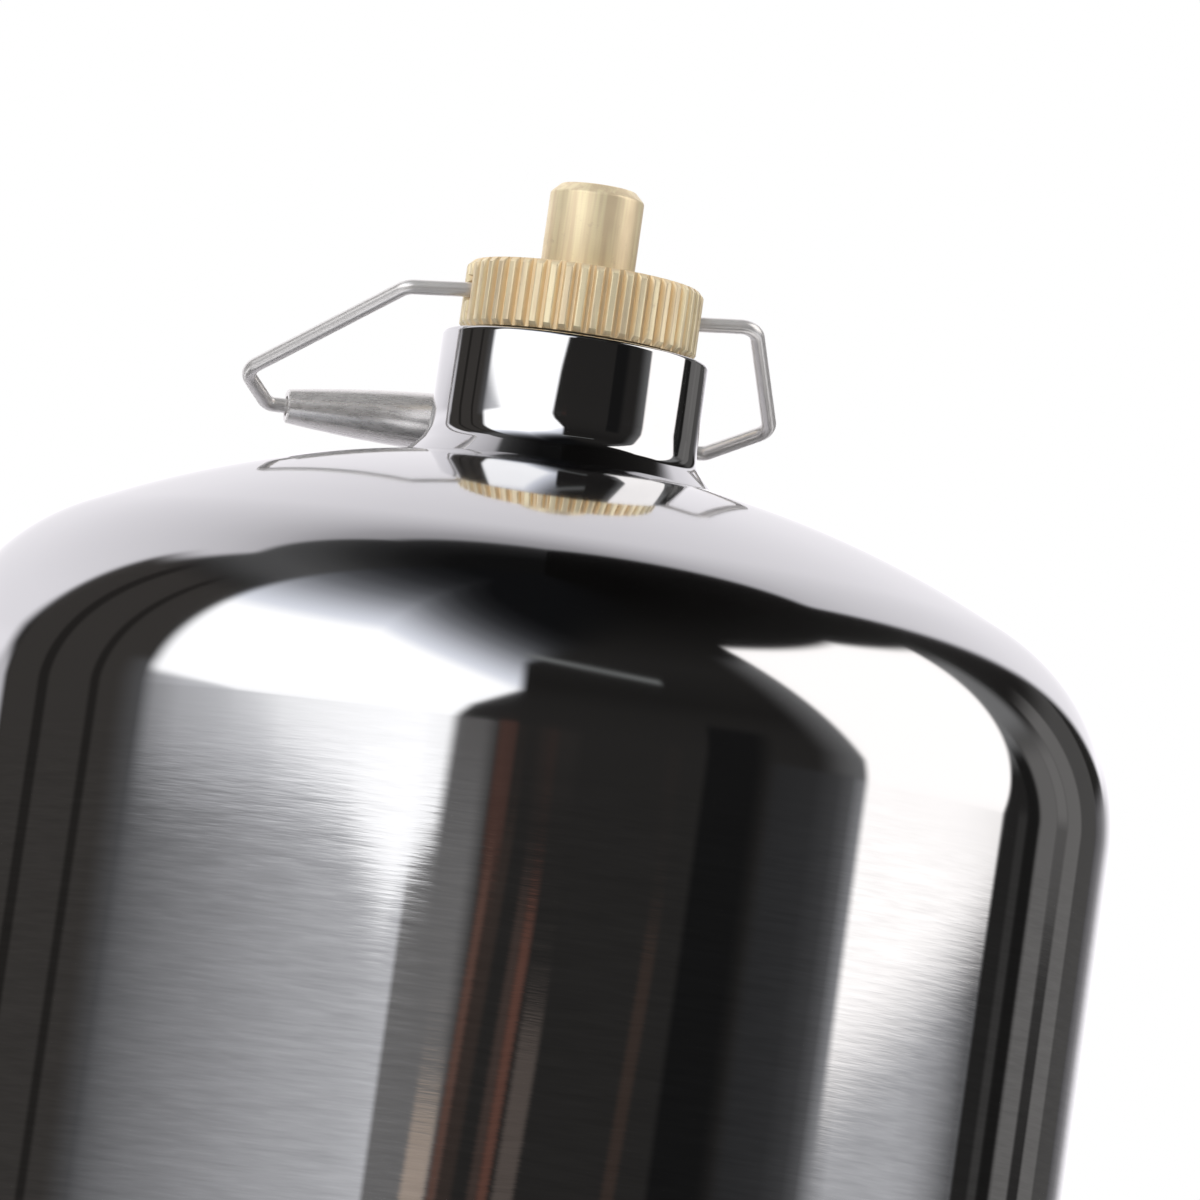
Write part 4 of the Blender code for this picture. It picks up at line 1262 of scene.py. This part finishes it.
class Studio(Graph):
    """What polished metal sees, by azimuth from the camera's side and by elevation, in degrees.

    Edges and grey levels were measured in the photo's reflections, then tuned against renders.
    """

    def __init__(self, tree, cards):
        super().__init__(tree)
        self.cards = cards
        x, y, z = self.parts(self.add("ShaderNodeTexCoord").outputs["Generated"])
        cosine, sine = math.cos(-CAMERA_AZIMUTH), math.sin(-CAMERA_AZIMUTH)
        across = self.minus(self.times(x, cosine), self.times(y, sine))
        away = self.plus(self.times(x, sine), self.times(y, cosine))
        self.azimuth = self.degrees("ARCTAN2", across, self.times(away, -1.0))
        self.behind = self.degrees("ARCTAN2", self.times(across, -1.0), away)
        self.elevation = self.degrees("ARCSINE", z)
        room = [(0, 36), (18, 33), (27, 27), (44, 32), (60, 22), (70, 15), (80, 10)]
        self.colour = self.by_elevation(room, DUSKY)

    def degrees(self, operation, *values):
        return self.times(self.maths(operation, *values), math.degrees(1.0))

    def card(self, *edges, about=None):
        """The mask of a card: its left, right, bottom and top, and how far each one is blurred."""
        places = (about or self.azimuth, self.elevation, *edges)
        return self.group("Studio card", **dict(zip(CARD_INPUTS + CARD_BLURS, places)))["Mask"]

    def lay(self, colour, *edges, about=None):
        """Puts a colour over what is there, where this card is."""
        self.colour = self.mix(self.card(*edges, about=about), self.colour, colour)

    def bent(self, start, slope, value, limit):
        """Start, plus slope for every degree that value is past the limit."""
        return self.line(self.past(value, limit), slope, start)

    def by_elevation(self, stops, tint=PLAIN):
        up = self.maths("DIVIDE", self.elevation, 90.0)
        return self.ramp(up, [(place / 90, grey(level, tint)) for place, level in stops])

    def by_azimuth(self, stops, tint):
        first, last = stops[0][0], stops[-1][0]
        share = self.remap(self.azimuth, first, last, smooth=False)
        whole = last - first
        return self.ramp(share, [((place - first) / whole, grey(level, tint)) for place, level in stops])

    def far_side(self):
        """Haze of light high up at the left, the white sweep behind the canister, and dark flats."""
        haze = self.by_elevation([(44, 45), (55, 70), (60, 73), (65, 62), (70, 42), (75, 26), (80, 15)])
        self.lay(haze, -190.0, -4.0, 50.0, 95.0, 4.0, 8.0, 8.0, 1.0)

        low_sweep = [(4, 252), (9, 245), (13, 224), (17, 218), (25, 217), (30, 214), (40, 206)]
        high_sweep = [(45, 201), (50, 195), (55, 186), (60, 172), (65, 150), (70, 135)]
        sweep = self.by_elevation(low_sweep + high_sweep, LILAC)
        left = self.bent(-20.5, -0.5, self.elevation, 10.0)
        right = self.bent(60.0, 0.3, self.elevation, 18.0)
        top = self.bent(69.5, -0.36, self.behind, 40.0)
        top = self.bent(top, -0.25, self.times(self.behind, -1.0), 0.0)
        self.lay(sweep, left, right, -10.0, top, 2.0, 3.0, 1.0, 1.6, about=self.behind)

        gap_ends = (-20.0, 50.0, 0.8, 0.8, 1.0, 6.0)
        gaps = self.maths("MAXIMUM", self.card(-105.8, -102.6, *gap_ends), self.card(-90.6, -88.2, *gap_ends))
        flats = self.mix(gaps, grey(52, BROWN), grey(33, BROWN))
        self.lay(flats, -117.0, -78.0, -20.0, 48.0, 2.0, 1.0, 1.0, 5.0)

    def left_box(self):
        """The table at the left, and over it a box that is full below and fades upwards."""
        near = [(-78, 76), (-72, 98), (-65, 114), (-55, 130), (-43, 147), (-36, 156), (-25, 164), (-16, 178)]
        far = [(-78, 80), (-74, 150), (-68, 178), (-60, 190), (-52, 203), (-40, 218), (-16, 230)]
        depth = self.remap(self.elevation, 4.25, 5.1)
        table = self.mix(depth, self.by_azimuth(near, COOL), self.by_azimuth(far, COOL))
        self.lay(table, -80.0, -16.0, -95.0, 14.0, 5.0, 1.5, 1.0, 2.0)
        self.lay(grey(100, (1.0, 0.98, 0.97)), -17.5, -5.0, -95.0, 5.6, 0.8, 2.5, 1.0, 1.5)

        fade_start = self.bent(41.0, -0.6, self.azimuth, -35.0)
        over = self.maths("DIVIDE", self.minus(self.elevation, fade_start), 40.0)
        fades = ((4, 223), (9, 190), (14, 150), (19, 108), (24, 74), (29, 46), (34, 28), (40, 15))
        stops = [(0.0, opaque(self.cards))] + [(place / 40, grey(level, BLUE)) for place, level in fades]
        high = self.past(self.elevation, 36.0)
        right = self.maths("MINIMUM", self.bent(-10.0, 0.85, self.elevation, 12.0), -1.2)
        right = self.line(high, 0.8, right)
        for level, slope in ((12.0, 0.4), (4.6, 12.0)):
            right = self.bent(right, -slope, level, self.elevation)
        bottom = 4.0
        for start, rise in ((-20.0, 0.058), (-31.0, -0.030), (-46.0, 0.045), (-56.0, 0.14)):
            beyond = self.past(start, self.azimuth)
            bottom = self.line(beyond, rise, bottom)
        blurs = (2.5, self.line(high, 0.6, 1.5), self.line(beyond, 0.10, 0.25), 1.0)
        self.lay(self.ramp(over, stops), -76.0, right, bottom, 95.0, *blurs)

    def middle(self):
        """Brown streaks low down, a thin strip over the camera and a dark band."""
        slanted = self.minus(self.azimuth, self.minus(self.elevation, 2.3))
        for left, right, top, level, tint in (
            (-10.4, -6.0, 2.9, 150, (1.0, 0.82, 0.68)),
            (-3.6, -1.0, 4.7, 50, (1.0, 0.76, 0.66)),
            (-5.4, -3.8, 4.9, 84, (1.0, 0.56, 0.44)),
            (2.0, 3.8, 4.3, 60, (1.0, 0.72, 0.62)),
            (3.8, 5.6, 4.2, 86, (1.0, 0.48, 0.36)),
            (6.6, 10.4, 3.5, 78, (1.0, 0.82, 0.72)),
            (26.8, 29.2, 4.1, 52, (1.0, 0.72, 0.60)),
        ):
            self.lay(grey(level, tint), left, right, -95.0, top, 0.7, 0.7, 1.0, 0.25, about=slanted)
        self.lay(grey(66, (1.0, 0.55, 0.45)), -4.2, -0.8, 4.4, 6.6, 0.8, 0.8, 0.2, 0.6)
        strip = self.line(self.azimuth, -0.17, 40.2)
        low, high = self.minus(strip, 0.9), self.plus(strip, 0.9)
        self.lay(grey(112, (0.97, 1.0, 0.98)), -1.0, 28.0, low, high, 3.0, 1.0, 1.3, 1.3)
        self.lay(grey(20), 35.5, 47.5, -95.0, 18.0, 1.0, 3.0, 1.5, 2.0)

    def right_box(self):
        """The right box, a little warm, with a grey fringe and the table below it, and its stands."""
        box_left = self.bent(69.6, -0.37, self.elevation, 14.0)
        self.lay(grey(92), self.minus(box_left, 6.0), 116.0, 5.0, 50.0, 6.0, 0.8, 3.0, 3.0)
        near = [(48, 38), (58, 44), (63, 56), (66, 76), (69, 126)]
        far = [(73, 160), (88, 162), (94, 152), (98, 136), (105, 86)]
        self.lay(self.by_azimuth(near + far, COOL), 49.0, 107.0, -95.0, 6.0, 2.0, 1.2, 1.0, 1.0)
        self.lay(grey(105), 114.0, 129.0, 20.0, 44.0, 1.0, 3.0, 4.0, 4.0)
        box_right = self.bent(106.5, 0.43, self.elevation, 4.0)
        bottom = self.bent(3.3, 0.028, self.azimuth, 70.0)
        top = self.bent(56.0, -0.35, self.azimuth, 100.0)
        warm = opaque(tuple(self.cards * part for part in WARM))
        self.lay(warm, box_left, box_right, bottom, top, 1.2, 1.2, 0.5, 1.6)
        for left, right, bottom, top, level in (
            (box_right, 119.5, -95.0, 19.0, 33),
            (119.5, 151.0, -95.0, 26.0, 68),
            (112.0, 115.0, -95.0, 4.6, 57),
            (115.5, 119.5, -95.0, 22.0, 24),
            (120.5, 127.5, -95.0, 22.0, 94),
            (127.5, 132.5, 4.1, 22.0, 100),
            (127.5, 132.5, -95.0, 4.1, 22),
            (132.5, 140.0, -95.0, 28.0, 96),
        ):
            self.lay(grey(level, STAND), left, right, bottom, top, 0.9, 0.9, 0.4, 4.0)

    def edges(self):
        """Light behind the stands at both sides, which the wall's outer edges show."""
        right = [(150, 72), (155, 105), (158, 135), (162, 190), (166, 220), (172, 240), (180, 248)]
        left = [(-180, 236), (-160, 222), (-135, 205), (-118, 178)]
        self.lay(self.by_azimuth(right, LILAC), 150.0, 181.0, -95.0, 9.0, 1.0, 1.0, 1.0, 2.0)
        self.lay(self.by_azimuth(left, LILAC), -181.0, -117.5, -20.0, 10.0, 1.0, 1.5, 1.0, 4.0)


class CanisterStage(bpy.types.Operator):
    """Sets the floor, the plain light, the studio that the metal shows, and the camera"""

    bl_idname = "canister.stage"
    bl_label = "Stage"

    def execute(self, context):
        settings = context.scene.canister_stage
        self.world(context.scene, settings)
        self.floor(settings)
        self.lamp(settings)
        self.camera(context.scene, settings)
        context.scene.view_settings.view_transform = "Standard"
        return {"FINISHED"}

    def world(self, scene, settings):
        world = bpy.data.worlds.new("Studio")
        world.use_nodes = True
        scene.world = world
        world.cycles.sampling_method = "NONE"
        world.node_tree.nodes.clear()
        studio = Studio(world.node_tree, settings.cards)
        studio.far_side()
        studio.left_box()
        studio.middle()
        studio.right_box()
        studio.edges()
        path = studio.add("ShaderNodeLightPath").outputs
        seen = studio.mix(path["Is Glossy Ray"], opaque(settings.fill), studio.colour)
        shown = studio.maths("MAXIMUM", path["Is Camera Ray"], path["Is Transmission Ray"])
        background = studio.add("ShaderNodeBackground", {"Color": studio.mix(shown, seen, opaque(1.0))})
        studio.add("ShaderNodeOutputWorld", {"Surface": background.outputs["Background"]})

    def floor(self, settings):
        work = bmesh.new()
        bmesh.ops.create_circle(work, cap_ends=True, segments=FINE_STEPS, radius=FLOOR_RADIUS)
        floor = link(bpy.data.objects.new("floor", worked_mesh("floor", work)))
        paper = Finish("floor paper", settings.floor_colour, 0.0, 0.75)
        paper.set("Specular IOR Level", 0.1)
        paper.set("Base Color", paper.tone(paper.noise(paper.place, 700.0), 0.995, 1.005))
        reach = paper.length(paper.place)
        path = paper.add("ShaderNodeLightPath").outputs
        white = paper.times(paper.remap(reach, *WHITE_FLOOR), path["Is Camera Ray"])
        away = paper.times(paper.remap(reach, *UNSEEN_FLOOR), path["Is Glossy Ray"])
        surface = paper.shader.outputs["BSDF"]
        for share, kind in ((white, "ShaderNodeEmission"), (away, "ShaderNodeBsdfTransparent")):
            inputs = {"Fac": share, 1: surface, 2: paper.add(kind).outputs[0]}
            surface = paper.add("ShaderNodeMixShader", inputs).outputs["Shader"]
        paper.feed(paper.tree.nodes["Material Output"].inputs["Surface"], surface)
        floor.data.materials.append(paper.material)

    def lamp(self, settings):
        light = bpy.data.lights.new("soft lamp", "AREA")
        light.shape = "DISK"
        light.size = LAMP_SIZE
        light.energy = settings.lamp
        lamp = link(bpy.data.objects.new("soft lamp", light))
        lamp.location = LAMP_PLACE
        lamp.rotation_euler = (LAMP_AIM - LAMP_PLACE).to_track_quat("-Z", "Y").to_euler()
        lamp.visible_glossy = False
        lamp.visible_camera = False

    def camera(self, scene, settings):
        data = bpy.data.cameras.new("camera")
        data.lens = settings.lens
        data.sensor_width = SENSOR_WIDTH
        data.clip_start, data.clip_end = CAMERA_CLIP
        camera = link(bpy.data.objects.new("camera", data))
        yaw, pitch, roll = CAMERA_YAW, CAMERA_PITCH, CAMERA_ROLL
        ahead = Vector((math.sin(yaw) * math.cos(pitch), math.cos(yaw) * math.cos(pitch), math.sin(pitch)))
        across = Vector((math.cos(yaw), -math.sin(yaw), 0.0))
        up = across.cross(ahead)
        right = across * math.cos(roll) + up * math.sin(roll)
        top = up * math.cos(roll) - across * math.sin(roll)
        local = Matrix((right, top, -ahead)).transposed().to_4x4()
        local.translation = (0.0, -CAMERA_DISTANCE, CAMERA_HEIGHT)
        camera.matrix_world = Matrix.Rotation(CAMERA_AZIMUTH, 4, "Z") @ local
        scene.camera = camera


PIECES = (
    CanisterVessel,
    CanisterCollar,
    CanisterGlandRing,
    CanisterValve,
    CanisterDustCap,
    CanisterBail,
    CanisterStage,
)
SETTINGS = (
    ("canister_steel", "Steel", CanisterSteelSettings),
    ("canister_brass", "Brass", CanisterBrassSettings),
    ("canister_bail", "Bail", CanisterBailSettings),
    ("canister_stage", "Stage", CanisterStageSettings),
)


class CanisterPanel(bpy.types.Panel):
    """Lists the canister's settings and pieces"""

    bl_idname = "VIEW3D_PT_canister"
    bl_label = "Gas canister"
    bl_space_type = "VIEW_3D"
    bl_region_type = "UI"
    bl_category = "Canister"

    def draw(self, context):
        for name, label, kind in SETTINGS:
            box = self.layout.box()
            box.label(text=label)
            for setting in kind.__annotations__:
                box.prop(getattr(context.scene, name), setting)
        for piece in PIECES:
            self.layout.operator(piece.bl_idname)


def register():
    for name, _, kind in SETTINGS:
        bpy.utils.register_class(kind)
        setattr(bpy.types.Scene, name, PointerProperty(type=kind))
    for kind in (*PIECES, CanisterPanel):
        bpy.utils.register_class(kind)


def unregister():
    for kind in (CanisterPanel, *PIECES[::-1]):
        bpy.utils.unregister_class(kind)
    for name, _, kind in SETTINGS[::-1]:
        delattr(bpy.types.Scene, name)
        bpy.utils.unregister_class(kind)


def main():
    register()
    for piece in PIECES:
        area, name = piece.bl_idname.split(".")
        getattr(getattr(bpy.ops, area), name)()


if __name__ == "__main__":
    main()
